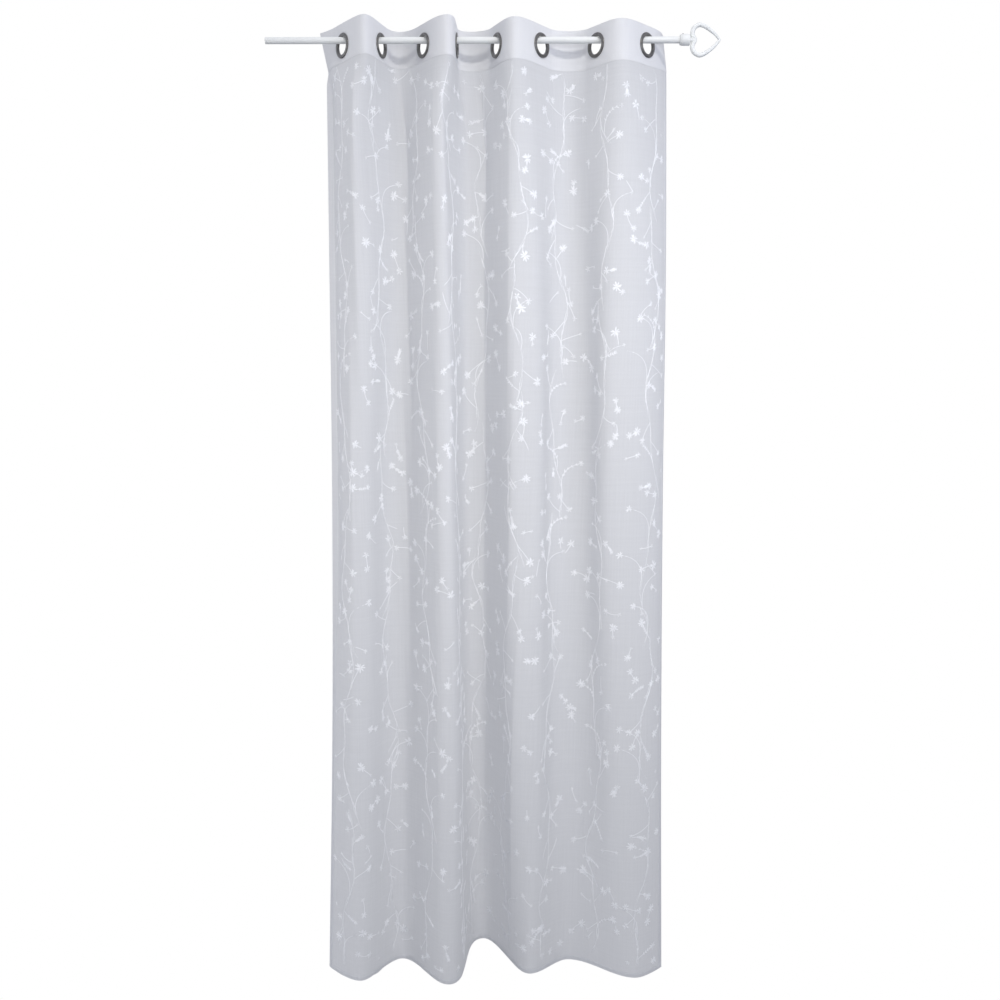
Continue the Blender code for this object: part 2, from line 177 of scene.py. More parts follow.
def square_to(ways: np.ndarray) -> np.ndarray:
    """Flat directions turned a quarter turn: (x, y) becomes (y, -x)."""
    return np.stack([ways[..., 1], -ways[..., 0]], axis=-1)


def cubic(
    start: np.ndarray, leave: np.ndarray, end: np.ndarray, arrive: np.ndarray, t: np.ndarray
) -> np.ndarray:
    """Cubic between two points whose slopes there are given.

    Args:
        start, leave: The first point and its slope.
        end, arrive: The last point and its slope.
        t: Shares of the way from the first to the last.

    Returns:
        The points at those shares.
    """
    first = (2.0 * t**3 - 3.0 * t**2 + 1.0) * start + (t**3 - 2.0 * t**2 + t) * leave
    return first + (3.0 * t**2 - 2.0 * t**3) * end + (t**3 - t**2) * arrive


def bezier(
    start: np.ndarray, leave: np.ndarray, arrive: np.ndarray, end: np.ndarray, steps: int
) -> np.ndarray:
    """Cubic curve: each point is the four marks weighed by the powers of t and 1 - t.

    Args:
        start, leave, arrive, end: The curve's two ends with its two handles between them.
        steps: Number of spans.

    Returns:
        Points of the curve, both ends included.
    """
    t = np.linspace(0.0, 1.0, steps + 1)[:, None]
    s = 1.0 - t
    return s**3 * start + 3.0 * s**2 * t * leave + 3.0 * s * t**2 * arrive + t**3 * end


def length_of(line: np.ndarray) -> float:
    """Length of a line of points: the sum of its spans."""
    return float(np.linalg.norm(np.diff(line, axis=0), axis=1).sum())


def solve(low: float, high: float, wanted: float, measure: Callable[[float], float]) -> float:
    """Halves a range until a rising measure reaches the wanted size.

    Args:
        low, high: The range.
        wanted: The size to reach.
        measure: A function that rises over the range.

    Returns:
        The value where the measure reaches the wanted size.
    """
    for _ in range(48):
        middle = 0.5 * (low + high)
        if measure(middle) < wanted:
            low = middle
        else:
            high = middle
    return 0.5 * (low + high)


def along(line: np.ndarray) -> np.ndarray:
    """Distance along a line at each of its points, as shares of its whole length."""
    total = np.concatenate([[0.0], np.cumsum(np.linalg.norm(np.diff(line, axis=0), axis=1))])
    return total / total[-1]


def resample(line: np.ndarray, shares: np.ndarray) -> np.ndarray:
    """Points of a line at shares of its length."""
    at = along(line)
    return np.stack([np.interp(shares, at, line[:, axis]) for axis in range(line.shape[1])], axis=-1)


def smoothstep(low: float, high: float, value: np.ndarray) -> np.ndarray:
    """Soft step from 0 to 1: 3t² - 2t³ of the value's place between low and high."""
    t = np.clip((value - low) / (high - low), 0.0, 1.0)
    return t * t * (3.0 - 2.0 * t)


@dataclass(frozen=True)
class HemCurl:
    """A side hem that turns out to face the room, and how far the cloth beside it gives way."""

    width: float = 0.016
    reach: float = 0.070
    shift: float = 0.010
    turn: float = 14.0
    fade: tuple[float, float] = (-1.20, -1.75)
    start_drop: float = 0.05


@dataclass
class Hang:
    """The plan curves that the cloth follows on its way from the heading to the hem."""

    width: float = 1.400
    hem_z: float = -2.410
    gathered: tuple[float, ...] = (0.968, 0.968, 0.972, 0.985, 1.0)
    flat_half: float = 0.0320
    edge_margin: float = 0.0990
    eyelet_drop: float = 0.0125
    left_curl: HemCurl = HemCurl()
    longest_handle: float = 0.20
    swing_steps: int = 60
    fold_steps: int = 36
    bend_steps: int = 20
    crowding: float = 1.15
    least_fall: float = 0.25

    def pitch(self) -> float:
        """Cloth between two eyelets."""
        return (self.width - 2.0 * self.edge_margin) / (len(EYELETS) - 1)

    def eyelet_shares(self) -> np.ndarray:
        """Places of the eyelets as shares of the cloth's width."""
        return (self.edge_margin + self.pitch() * np.arange(len(EYELETS))) / self.width

    def row_shares(self, rows: int) -> np.ndarray:
        """Places of the rows as shares of the sheet's length, a little closer together at the top."""
        return np.linspace(0.0, 1.0, rows + 1) ** self.crowding

    def bent_run(self, start: np.ndarray, way: np.ndarray, turn: float, length: float) -> np.ndarray:
        """A run that turns evenly: its heading grows by a like angle at each like step.

        Args:
            start, way: Where the run starts and its first direction.
            turn: Whole turn in degrees.
            length: Length of the run.

        Returns:
            Points of the run without its start.
        """
        steps = self.bend_steps
        angle = math.atan2(way[1], way[0]) + math.radians(turn) * np.arange(1, steps + 1) / steps
        moves = length / steps * np.stack([np.cos(angle), np.sin(angle)], axis=1)
        return start + np.cumsum(moves, axis=0)

    def heading_line(self, edge: Edge) -> np.ndarray:
        """Plan of a heading edge: a flat run at each eyelet and a rounded fold between each two.

        Args:
            edge: The upper or the lower edge.

        Returns:
            Points of the line from the left side edge to the right one.
        """
        places = [np.array([row.x, 0.0]) for row in EYELETS]
        ways = [row.way() for row in EYELETS]
        free = self.edge_margin - self.flat_half
        left_turn = LEFT_EDGE.upper if edge is Edge.UPPER else LEFT_EDGE.lower
        right_turn = RIGHT_EDGE.upper if edge is Edge.UPPER else RIGHT_EDGE.lower
        first = places[0] - self.flat_half * ways[0]
        parts = [self.bent_run(first, -ways[0], left_turn, free)[::-1]]
        for index, (place, way) in enumerate(zip(places, ways)):
            parts.append(np.array([place - self.flat_half * way, place + self.flat_half * way]))
            if index + 1 < len(places):
                start = place + self.flat_half * way
                end = places[index + 1] - self.flat_half * ways[index + 1]
                parts.append(self.loop(start, way, end, ways[index + 1])[1:-1])
        last = places[-1] + self.flat_half * ways[-1]
        parts.append(self.bent_run(last, ways[-1], right_turn, free))
        return np.vstack(parts)

    def loop(self, start: np.ndarray, leave: np.ndarray, end: np.ndarray, arrive: np.ndarray) -> np.ndarray:
        """The rounded fold between two flat runs, with handles that use up its length.

        Args:
            start, leave: Where the fold starts and its direction there.
            end, arrive: Where it ends and its direction there.

        Returns:
            Points of the fold.
        """
        wanted = self.pitch() - 2.0 * self.flat_half

        def line(handle: float, steps: int) -> np.ndarray:
            """The fold for one handle length."""
            return bezier(start, start + handle * leave, end - handle * arrive, end, steps)

        handle = solve(0.0, self.longest_handle, wanted, lambda h: length_of(line(h, self.swing_steps)))
        return line(handle, self.fold_steps)

    def fold_line(self, level: int) -> np.ndarray:
        """Plan of the cloth at one height: soft swings from each fold line to the next.

        Args:
            level: Index of the height in FOLD_HEIGHTS.

        Returns:
            Points of the line. Its handles are as long as it takes to use the whole width.
        """
        names = list(FOLDS)
        marks = [np.array(FOLDS[name][level]) for name in names]
        last = len(marks) - 2
        steps = self.swing_steps

        def line(handle: float) -> np.ndarray:
            """The whole line for one handle share."""
            parts = [marks[0][None, :]]
            for index, (start, end) in enumerate(zip(marks[:-1], marks[1:])):
                square = at_level(SQUARE, names[index], level, 1.0)
                after = at_level(CRISP, names[index], level, (1.0, 1.0))[1]
                before = at_level(CRISP, names[index + 1], level, (1.0, 1.0))[0]
                leave = min(1.0, handle * square * after) if index > 0 else 0.0
                arrive = min(1.0, handle * square * before) if index < last else 0.0
                corners = at_level(CORNERS, names[index], level, ())
                if not corners:
                    reach = np.array([end[0] - start[0], 0.0])
                    parts.append(bezier(start, start + leave * reach, end - arrive * reach, end, steps)[1:])
                    continue
                near, far = np.array(corners[0]), np.array(corners[-1])
                out = np.array([near[0] - start[0], 0.0])
                back = np.array([end[0] - far[0], 0.0])
                parts.append(bezier(start, start + leave * out, near, near, steps // 2)[1:])
                if len(corners) > 1:
                    parts.append(np.linspace(near, far, steps // 2)[1:])
                parts.append(bezier(far, far, end - arrive * back, end, steps // 2)[1:])
            return np.vstack(parts)

        return line(solve(0.0, 1.6, self.gathered[level] * self.width, lambda h: length_of(line(h))))

    def edge_height(self, shares: np.ndarray, edge: Edge) -> np.ndarray:
        """Height of a heading edge at shares of the width.

        Args:
            shares: Places across the cloth.
            edge: The upper or the lower edge.

        Returns:
            Heights from the rod's axis.
        """
        places = np.concatenate([[0.0], self.eyelet_shares(), [1.0]])
        rows = (LEFT_EDGE, *EYELETS, RIGHT_EDGE)
        if edge is Edge.UPPER:
            return np.interp(shares, places, [row.above for row in rows])
        return -np.interp(shares, places, [row.below for row in rows])

    def eased(self, plans: np.ndarray, heights: np.ndarray, levels: np.ndarray) -> np.ndarray:
        """Plans at any level: a cubic through the known plans with slopes from their neighbours.

        Args:
            plans: Known plans, one per height.
            heights: Their heights, falling.
            levels: The heights wanted.

        Returns:
            One plan per wanted level.
        """
        slopes = np.gradient(plans, heights, axis=0)
        span = np.clip(np.searchsorted(-heights, -levels, side="right") - 1, 0, len(heights) - 2)
        step = (heights[span + 1] - heights[span])[:, None, None]
        t = ((levels - heights[span])[:, None, None]) / step
        return cubic(plans[span], step * slopes[span], plans[span + 1], step * slopes[span + 1], t)

    def curled(self, plans: np.ndarray, shares: np.ndarray, levels: np.ndarray) -> np.ndarray:
        """Turns the left side hem out: its points leave the hem's seam along a new direction.

        Args:
            plans: Plans of all rows.
            shares: Places across the cloth.
            levels: Height of each row.

        Returns:
            The plans, blended back to their own course further down.
        """
        curl = self.left_curl
        across = shares * self.width
        amount = smoothstep(curl.fade[1], curl.fade[0], levels)[:, None, None]
        moved = plans.copy()
        moved[..., 0] += curl.shift * smoothstep(curl.reach, 0.0, across)
        seam = int(np.searchsorted(across, curl.width))
        angle = math.radians(curl.turn)
        way = np.array([-math.cos(angle), math.sin(angle)])
        out = (across[seam] - across[:seam])[None, :, None] * way
        moved[:, :seam] = moved[:, seam : seam + 1] + out
        return plans + amount * (moved - plans)

    def panel(self, columns: int, rows: int) -> np.ndarray:
        """Rows of points from the seam to the hem. Each upright thread keeps its length.

        Each row's plan is eased from the known plans, and each point then falls by what is left of
        its thread's step after its move aside.

        Args:
            columns: Number of spans across.
            rows: Number of spans down.

        Returns:
            Points as an array of rows, columns and coordinates.
        """
        shares = np.linspace(0.0, 1.0, columns + 1)
        known = [resample(self.heading_line(Edge.LOWER), shares)]
        known += [resample(self.fold_line(level), shares) for level in range(len(FOLD_HEIGHTS))]
        top = self.edge_height(shares, Edge.LOWER)
        heights = np.array([float(top.mean()), *FOLD_HEIGHTS])
        levels = heights[0] + (heights[-1] - heights[0]) * self.row_shares(rows)
        plans = self.eased(np.array(known), heights, levels)
        below = smoothstep(heights[0], heights[0] - self.left_curl.start_drop, levels)[:, None, None]
        plans = plans + below * (self.curled(plans, shares, levels) - plans)
        thread = (top - self.hem_z) / (heights[0] - self.hem_z)
        aside = np.linalg.norm(np.diff(plans, axis=0), axis=-1)
        steps = thread[None, :] * -np.diff(levels)[:, None]
        fall = np.sqrt(np.maximum(steps**2 - aside**2, self.least_fall * steps**2))
        z = np.vstack([top[None, :], top[None, :] - np.cumsum(fall, axis=0)])
        return np.concatenate([plans, z[..., None]], axis=-1)


# ---------------------------------------------------------------- meshes
@dataclass
class Shape:
    """Points, four-sided and other faces, and flat cloth coordinates of one piece."""

    points: np.ndarray
    quads: np.ndarray
    caps: list[list[int]] = field(default_factory=list)
    flat: np.ndarray | None = None

    @staticmethod
    def joined(shapes: Sequence["Shape"]) -> "Shape":
        """One shape of several, with their faces renumbered."""
        starts = np.cumsum([0] + [len(shape.points) for shape in shapes[:-1]])
        caps = [[int(start) + i for i in cap] for start, shape in zip(starts, shapes) for cap in shape.caps]
        flats = [shape.flat for shape in shapes]
        return Shape(
            np.vstack([shape.points for shape in shapes]),
            np.vstack([shape.quads + start for start, shape in zip(starts, shapes)]),
            caps,
            None if any(flat is None for flat in flats) else np.vstack(flats),
        )

    def made(self, name: str, material: bpy.types.Material, smooth: bool = True) -> bpy.types.Object:
        """Puts the shape into an object that sits at the origin.

        Args:
            name: Name of the piece.
            material: Its finish.
            smooth: Whether it is shaded smooth.

        Returns:
            The object.
        """
        mesh = bpy.data.meshes.new(name)
        mesh.from_pydata(self.points.tolist(), [], self.quads.tolist() + self.caps)
        if self.flat is not None:
            layer = mesh.uv_layers.new(name="cloth")
            corner = np.zeros(len(mesh.loops), dtype=np.int32)
            mesh.loops.foreach_get("vertex_index", corner)
            layer.data.foreach_set("uv", (self.flat[corner] / FLAT_SCALE).astype(np.float32).ravel())
        mesh.polygons.foreach_set("use_smooth", np.full(len(mesh.polygons), smooth))
        mesh.materials.append(material)
        mesh.update()
        item = bpy.data.objects.new(name, mesh)
        bpy.context.scene.collection.objects.link(item)
        return item


def grid_quads(rows: int, columns: int, wrap_rows: bool = False, wrap_columns: bool = False) -> np.ndarray:
    """Faces of a grid of points: each joins a point to its next neighbours down and across.

    Args:
        rows, columns: Number of points each way.
        wrap_rows, wrap_columns: Whether the last row or column joins the first.

    Returns:
        Four point numbers per face.
    """
    index = np.arange(rows * columns).reshape(rows, columns)
    if wrap_rows:
        index = np.vstack([index, index[:1]])
    if wrap_columns:
        index = np.hstack([index, index[:, :1]])
    return np.stack([index[:-1, :-1], index[1:, :-1], index[1:, 1:], index[:-1, 1:]], axis=-1).reshape(-1, 4)


def lathed(profile: np.ndarray, steps: int, axis: np.ndarray, side: np.ndarray, centre: np.ndarray) -> Shape:
    """A profile of (radius, height) turned about an axis: centre + height·axis + radius·(cos, sin).

    Args:
        profile: The pairs. An open profile starts and ends on the axis, where it is closed.
        steps: Number of places round the axis.
        axis, side: Unit directions of the axis and of the start of the turn.
        centre: Where height 0 is on the axis.

    Returns:
        The turned shape.
    """
    closed = profile[0, 0] > 1e-7
    rings = profile if closed else profile[1:-1]
    across = np.cross(axis, side)
    angle = np.linspace(0.0, 2.0 * math.pi, steps, endpoint=False)
    spoke = np.cos(angle)[:, None] * side + np.sin(angle)[:, None] * across
    points = centre + rings[:, None, 1:] * axis + rings[:, None, :1] * spoke[None]
    quads = grid_quads(len(rings), steps, wrap_rows=closed, wrap_columns=True)
    points = points.reshape(-1, 3)
    caps: list[list[int]] = []
    if not closed:
        ends = centre + profile[[0, -1], 1:] * axis
        first, last = len(points), len(points) + 1
        start = (len(rings) - 1) * steps
        caps += [[first, i, (i + 1) % steps] for i in range(steps)]
        caps += [[last, start + (i + 1) % steps, start + i] for i in range(steps)]
        points = np.vstack([points, ends])
    return Shape(points, quads, caps)


def tube(path: np.ndarray, radius: np.ndarray, side: np.ndarray, sides: int, wrap: bool) -> Shape:
    """A round section carried along a flat path: path + radius·(cos·outward + sin·side).

    Args:
        path: Centre line.
        radius: Radius at each of its points.
        side: Direction square to the plane that the path lies in.
        sides: Points round the section.
        wrap: Whether the path closes on itself.

    Returns:
        The tube, with flat ends if it is open.
    """
    if wrap:
        way = np.roll(path, -1, axis=0) - np.roll(path, 1, axis=0)
    else:
        way = np.gradient(path, axis=0)
    out = np.cross(unit(way), side)
    angle = np.linspace(0.0, 2.0 * math.pi, sides, endpoint=False)
    spoke = np.cos(angle)[None, :, None] * out[:, None, :] + np.sin(angle)[None, :, None] * side
    points = (path[:, None, :] + radius[:, None, None] * spoke).reshape(-1, 3)
    quads = grid_quads(len(path), sides, wrap_rows=wrap, wrap_columns=True)
    last = (len(path) - 1) * sides
    caps = [] if wrap else [list(range(sides)), list(range(last + sides - 1, last - 1, -1))]
    return Shape(points, quads, caps)


# ---------------------------------------------------------------- shader expressions
class Wire:
    """A shader value that takes part in Python arithmetic."""

    def __init__(self, graph: "Graph", socket: bpy.types.NodeSocket) -> None:
        """Keeps the socket and the graph that it belongs to."""
        self.graph = graph
        self.socket = socket

    def maths(self, operation: str, *others: "Wire | float", swap: bool = False) -> "Wire":
        """One Math node on this value and others."""
        values = [self, *others]
        return self.graph.node("ShaderNodeMath", {"operation": operation}, values[::-1] if swap else values)

    def __add__(self, other: "Wire | float") -> "Wire":
        """Sum."""
        return self.maths("ADD", other)

    def __sub__(self, other: "Wire | float") -> "Wire":
        """Difference."""
        return self.maths("SUBTRACT", other)

    def __rsub__(self, other: float) -> "Wire":
        """Difference from a number."""
        return self.maths("SUBTRACT", other, swap=True)

    def __mul__(self, other: "Wire | float") -> "Wire":
        """Product."""
        return self.maths("MULTIPLY", other)

    __radd__ = __add__
    __rmul__ = __mul__

    def between(self, low: float, high: float) -> "Wire":
        """Soft step from 0 at low to 1 at high, which may be the lower one."""
        settings = {"interpolation_type": "SMOOTHSTEP"}
        sockets = {"Value": self, "From Min": low, "From Max": high}
        return self.graph.node("ShaderNodeMapRange", settings, sockets)


class Graph:
    """The node tree of one material or world."""

    def __init__(self, tree: bpy.types.NodeTree) -> None:
        """Empties the tree."""
        self.tree = tree
        tree.nodes.clear()

    def node(
        self, kind: str, settings: dict | None = None, sockets: dict | list | None = None, out: int = 0
    ) -> Wire:
        """Adds a node.

        Args:
            kind: The node's type.
            settings: Its properties, which are set first.
            sockets: Values or wires by socket name or in socket order.
            out: Which output is returned.

        Returns:
            The output.
        """
        made = self.tree.nodes.new(kind)
        for name, value in (settings or {}).items():
            setattr(made, name, value)
        pairs = sockets.items() if isinstance(sockets, dict) else enumerate(sockets or [])
        for key, value in pairs:
            if isinstance(value, Wire):
                self.tree.links.new(value.socket, made.inputs[key])
            else:
                made.inputs[key].default_value = value
        return Wire(self, made.outputs[out])

    def tint(self, factor: Wire, low: Colour, high: Colour) -> Wire:
        """Colour between two by a factor."""
        settings = {"data_type": "RGBA", "clamp_factor": True}
        return self.node("ShaderNodeMix", settings, {0: factor, 6: (*low, 1.0), 7: (*high, 1.0)}, out=2)

    def cloth(self) -> tuple[Wire, Wire]:
        """Cloth coordinates in metres: across from the left edge, and down from the seam."""
        uv = self.node("ShaderNodeUVMap", {"uv_map": "cloth"})
        u = self.node("ShaderNodeSeparateXYZ", None, [uv], out=0)
        v = self.node("ShaderNodeSeparateXYZ", None, [uv], out=1)
        return u * FLAT_SCALE, v * FLAT_SCALE

    def point(self, x: Wire | float, y: Wire | float, z: Wire | float = 0.0) -> Wire:
        """A vector of three values."""
        return self.node("ShaderNodeCombineXYZ", None, [x, y, z])

    def place(self) -> Wire:
        """Object coordinates."""
        return self.node("ShaderNodeTexCoord", None, None, out=3)

    def noise(self, vector: Wire, scale: float, detail: float = 2.0, roughness: float = 0.5) -> Wire:
        """Soft random value from 0 to 1."""
        sockets = {"Vector": vector, "Scale": scale, "Detail": detail, "Roughness": roughness}
        return self.node("ShaderNodeTexNoise", None, sockets)

    def streaks(
        self, across: Wire, down: Wire, scales: tuple[float, float], detail: float, roughness: float
    ) -> Wire:
        """Soft random value on cloth, with its own scale across and down."""
        return self.noise(self.point(across * scales[0], down * scales[1]), 1.0, detail, roughness)

    def weave(self, across: Wire, down: Wire, thread: float) -> Wire:
        """Plain weave: a sine wave over the rows of thread times one over the columns."""
        turn = 2.0 * math.pi / thread
        return (down * turn).maths("SINE") * (across * turn).maths("SINE")

    def bump(self, height: Wire, strength: float, distance: float) -> Wire:
        """A normal from a height."""
        sockets = {"Height": height, "Strength": strength, "Distance": distance}
        return self.node("ShaderNodeBump", None, sockets)

    def principled(self, sockets: dict[str, Wire | float]) -> Wire:
        """An opaque surface."""
        return self.node("ShaderNodeBsdfPrincipled", None, sockets)

    def output(self, surface: Wire, kind: str = "ShaderNodeOutputMaterial") -> None:
        """Ends the graph in a surface."""
        end = self.tree.nodes.new(kind)
        self.tree.links.new(surface.socket, end.inputs["Surface"])


def new_material(name: str) -> tuple[bpy.types.Material, Graph]:
    """An empty material and its graph."""
    material = bpy.data.materials.new(name)
    material.use_nodes = True
    return material, Graph(material.node_tree)


@dataclass(frozen=True)
class VoileFinish:
    """Thin plain-woven voile that lets some of what is behind it show."""

    warp: Colour = (0.722, 0.726, 0.736)
    slub: Colour = (0.772, 0.776, 0.787)
    density: float = 0.90
    hem_density: float = 0.97
    thread: float = 0.0010
    side_hem: float = 0.016
    bottom_hem: float = 0.011
    hem_edge: float = 0.001
    most_dense: float = 0.99
    through: float = 0.36

    def make(self, width: float, length: float) -> bpy.types.Material:
        """The finish for a panel of a given cut size.

        Args:
            width, length: Flat size of the panel.

        Returns:
            The material.
        """
        material, graph = new_material("voile")
        across, down = graph.cloth()
        streak = graph.streaks(across, down, (260.0, 5.0), 3.0, 0.6)
        pick = graph.streaks(across, down, (6.0, 190.0), 2.0, 0.5)
        cloud = graph.streaks(across, down, (9.0, 3.0), 2.0, 0.5)
        weave = graph.weave(across, down, self.thread)
        side = across.between(self.side_hem, self.side_hem - self.hem_edge)
        side = side + across.between(width - self.side_hem, width - self.side_hem + self.hem_edge)
        low = down.between(length - self.bottom_hem - self.hem_edge, length - self.bottom_hem)
        hem = side.maths("MAXIMUM", low)
        slubs = streak * 0.6 + pick * 0.4
        colour = graph.tint(slubs + (cloud - 0.5) * 0.3, self.warp, self.slub)
        density = (slubs - 0.5) * 0.10 + weave * 0.03 + self.density
        density = density + hem * (self.hem_density - self.density)
        normal = graph.bump(weave * 0.5 + slubs, 0.20, 0.0004)
        principled = graph.principled({
            "Base Color": colour,
            "Roughness": 0.72,
            "Specular IOR Level": 0.25,
            "Sheen Weight": 0.15,
            "Sheen Roughness": 0.4,
            "Normal": normal,
        })
        behind = graph.node("ShaderNodeBsdfTranslucent", None, {"Color": colour, "Normal": normal})
        cloth = graph.node("ShaderNodeMixShader", None, [self.through, principled, behind])
        clear = graph.node("ShaderNodeBsdfTransparent", None, {"Color": WHITE})
        density = density.maths("MINIMUM", self.most_dense)
        graph.output(graph.node("ShaderNodeMixShader", None, [density, clear, cloth]))
        return material


@dataclass(frozen=True)
class HeadingFinish:
    """Doubled voile over a stiffening band, close and matt."""

    low: Colour = (0.725, 0.727, 0.735)
    high: Colour = (0.785, 0.787, 0.795)
    thread: float = 0.0010

    def make(self) -> bpy.types.Material:
        """The finish of the heading strip."""
        material, graph = new_material("stiffened_heading")
        across, down = graph.cloth()
        streak = graph.streaks(across, down, (260.0, 12.0), 3.0, 0.6)
        crease = graph.streaks(across, down, (30.0, 22.0), 3.0, 0.55)
        weave = graph.weave(across, down, self.thread)
        colour = graph.tint(streak * 0.7 + crease * 0.3, self.low, self.high)
        principled = graph.principled({
            "Base Color": colour,
            "Roughness": 0.70,
            "Specular IOR Level": 0.25,
            "Sheen Weight": 0.12,
            "Normal": graph.bump(weave * 0.4 + streak + crease * 4.0, 0.25, 0.0005),
        })
        graph.output(principled)
        return material


@dataclass(frozen=True)
class ThreadFinish:
    """Embroidery and sewing thread with a soft silky shine."""

    name: str = "embroidery_thread"
    low: Colour = (0.86, 0.866, 0.880)
    high: Colour = (0.92, 0.926, 0.940)
    roughness: float = 0.42
    gloss: float = 0.5
    ply_scale: float = 900.0

    def make(self) -> bpy.types.Material:
        """The finish of the thread."""
        material, graph = new_material(self.name)
        ply = graph.noise(graph.place(), self.ply_scale)
        colour = graph.tint(ply, self.low, self.high)
        principled = graph.principled({
            "Base Color": colour,
            "Roughness": self.roughness,
            "Specular IOR Level": self.gloss,
            "Sheen Weight": 0.2,
            "Normal": graph.bump(ply, 0.25, 0.0002),
        })
        graph.output(principled)
        return material


@dataclass(frozen=True)
class MetalFinish:
    """Plated metal with fine turned marks and a little wear."""

    name: str
    low: Colour
    high: Colour
    smooth: float
    rough: float
    cloud_scale: float = 160.0
    grain_scale: float = 1500.0

    def make(self) -> bpy.types.Material:
        """The finish of the metal."""
        material, graph = new_material(self.name)
        place = graph.place()
        cloud = graph.noise(place, self.cloud_scale, 3.0, 0.6)
        grain = graph.noise(place, self.grain_scale)
        rough = cloud * (self.rough - self.smooth) + self.smooth
        principled = graph.principled({
            "Base Color": graph.tint(cloud, self.low, self.high),
            "Metallic": 1.0,
            "Roughness": rough,
            "Normal": graph.bump(grain, 0.12, 0.0001),
        })
        graph.output(principled)
        return material


@dataclass(frozen=True)
class PaintFinish:
    """Off-white powder paint, even on the rod and a little lumpy on the collar and the casting."""

    name: str
    low: Colour = (0.80, 0.81, 0.785)
    high: Colour = (0.88, 0.89, 0.865)
    lumps: float = 0.0
    lump_scale: float = 260.0
    peel_scale: float = 1100.0
    cloud_scale: float = 60.0

    def make(self) -> bpy.types.Material:
        """The finish of the paint."""
        material, graph = new_material(self.name)
        place = graph.place()
        peel = graph.noise(place, self.peel_scale)
        lump = graph.noise(place, self.lump_scale, 3.0, 0.55)
        cloud = graph.noise(place, self.cloud_scale, 3.0, 0.5)
        principled = graph.principled({
            "Base Color": graph.tint(cloud * 0.6 + lump * 0.4, self.low, self.high),
            "Roughness": peel * 0.12 + 0.34,
            "Specular IOR Level": 0.45,
            "Normal": graph.bump(peel * 0.15 + lump * self.lumps, 0.5, 0.0006),
        })
        graph.output(principled)
        return material


# ---------------------------------------------------------------- cloth pieces
@dataclass
class Panel:
    """The voile panel, its hems and the surface that thread is laid on."""

    hang: Hang
    columns: int = 400
    rows: int = 212
    length: float = 2.355
    grid: np.ndarray = field(init=False)
    normals: np.ndarray = field(init=False)
    down: np.ndarray = field(init=False)

    def __post_init__(self) -> None:
        """Works out the surface once: its points, its front-facing normals and its thread lengths."""
        self.grid = self.hang.panel(self.columns, self.rows)
        across = np.gradient(self.grid, axis=1)
        fall = np.gradient(self.grid, axis=0)
        self.normals = unit(np.cross(fall, across))
        self.down = self.hang.row_shares(self.rows) * self.length

    def at(self, u: np.ndarray, v: np.ndarray, height: np.ndarray) -> np.ndarray:
        """Points of cloth coordinates: the grid's four nearest points, weighed, plus height·normal.

        Args:
            u, v: Places across and down the flat cloth, in metres.
            height: Distance in front of the sheet.

        Returns:
            Points in space.
        """
        column = np.clip(u / self.hang.width * self.columns, 0.0, self.columns - 1e-6)
        row = np.interp(v, self.down, np.arange(self.rows + 1))
        row = np.clip(row, 0.0, self.rows - 1e-6)
        j, i = column.astype(int), row.astype(int)
        s, t = (column - j)[..., None], (row - i)[..., None]
        near = [
            (i, j, (1 - s) * (1 - t)),
            (i, j + 1, s * (1 - t)),
            (i + 1, j, (1 - s) * t),
            (i + 1, j + 1, s * t),
        ]
        place = sum(self.grid[a, b] * w for a, b, w in near)
        normal = sum(self.normals[a, b] * w for a, b, w in near)
        return place + height[..., None] * normal

    def build(self, finish: VoileFinish) -> bpy.types.Object:
        """The sheet itself, one layer of cloth with its cut coordinates.

        Args:
            finish: The voile.

        Returns:
            The piece.
        """
        u = np.broadcast_to(np.linspace(0.0, self.hang.width, self.columns + 1), self.grid.shape[:2])
        v = np.broadcast_to(self.down[:, None], self.grid.shape[:2])
        shape = Shape(
            self.grid.reshape(-1, 3),
            grid_quads(self.rows + 1, self.columns + 1),
            flat=np.stack([u, v], axis=-1).reshape(-1, 2),
        )
        piece = shape.made("voile_panel", finish.make(self.hang.width, self.length))
        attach(piece, BODY)
        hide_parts("curtain_panel")
        return piece


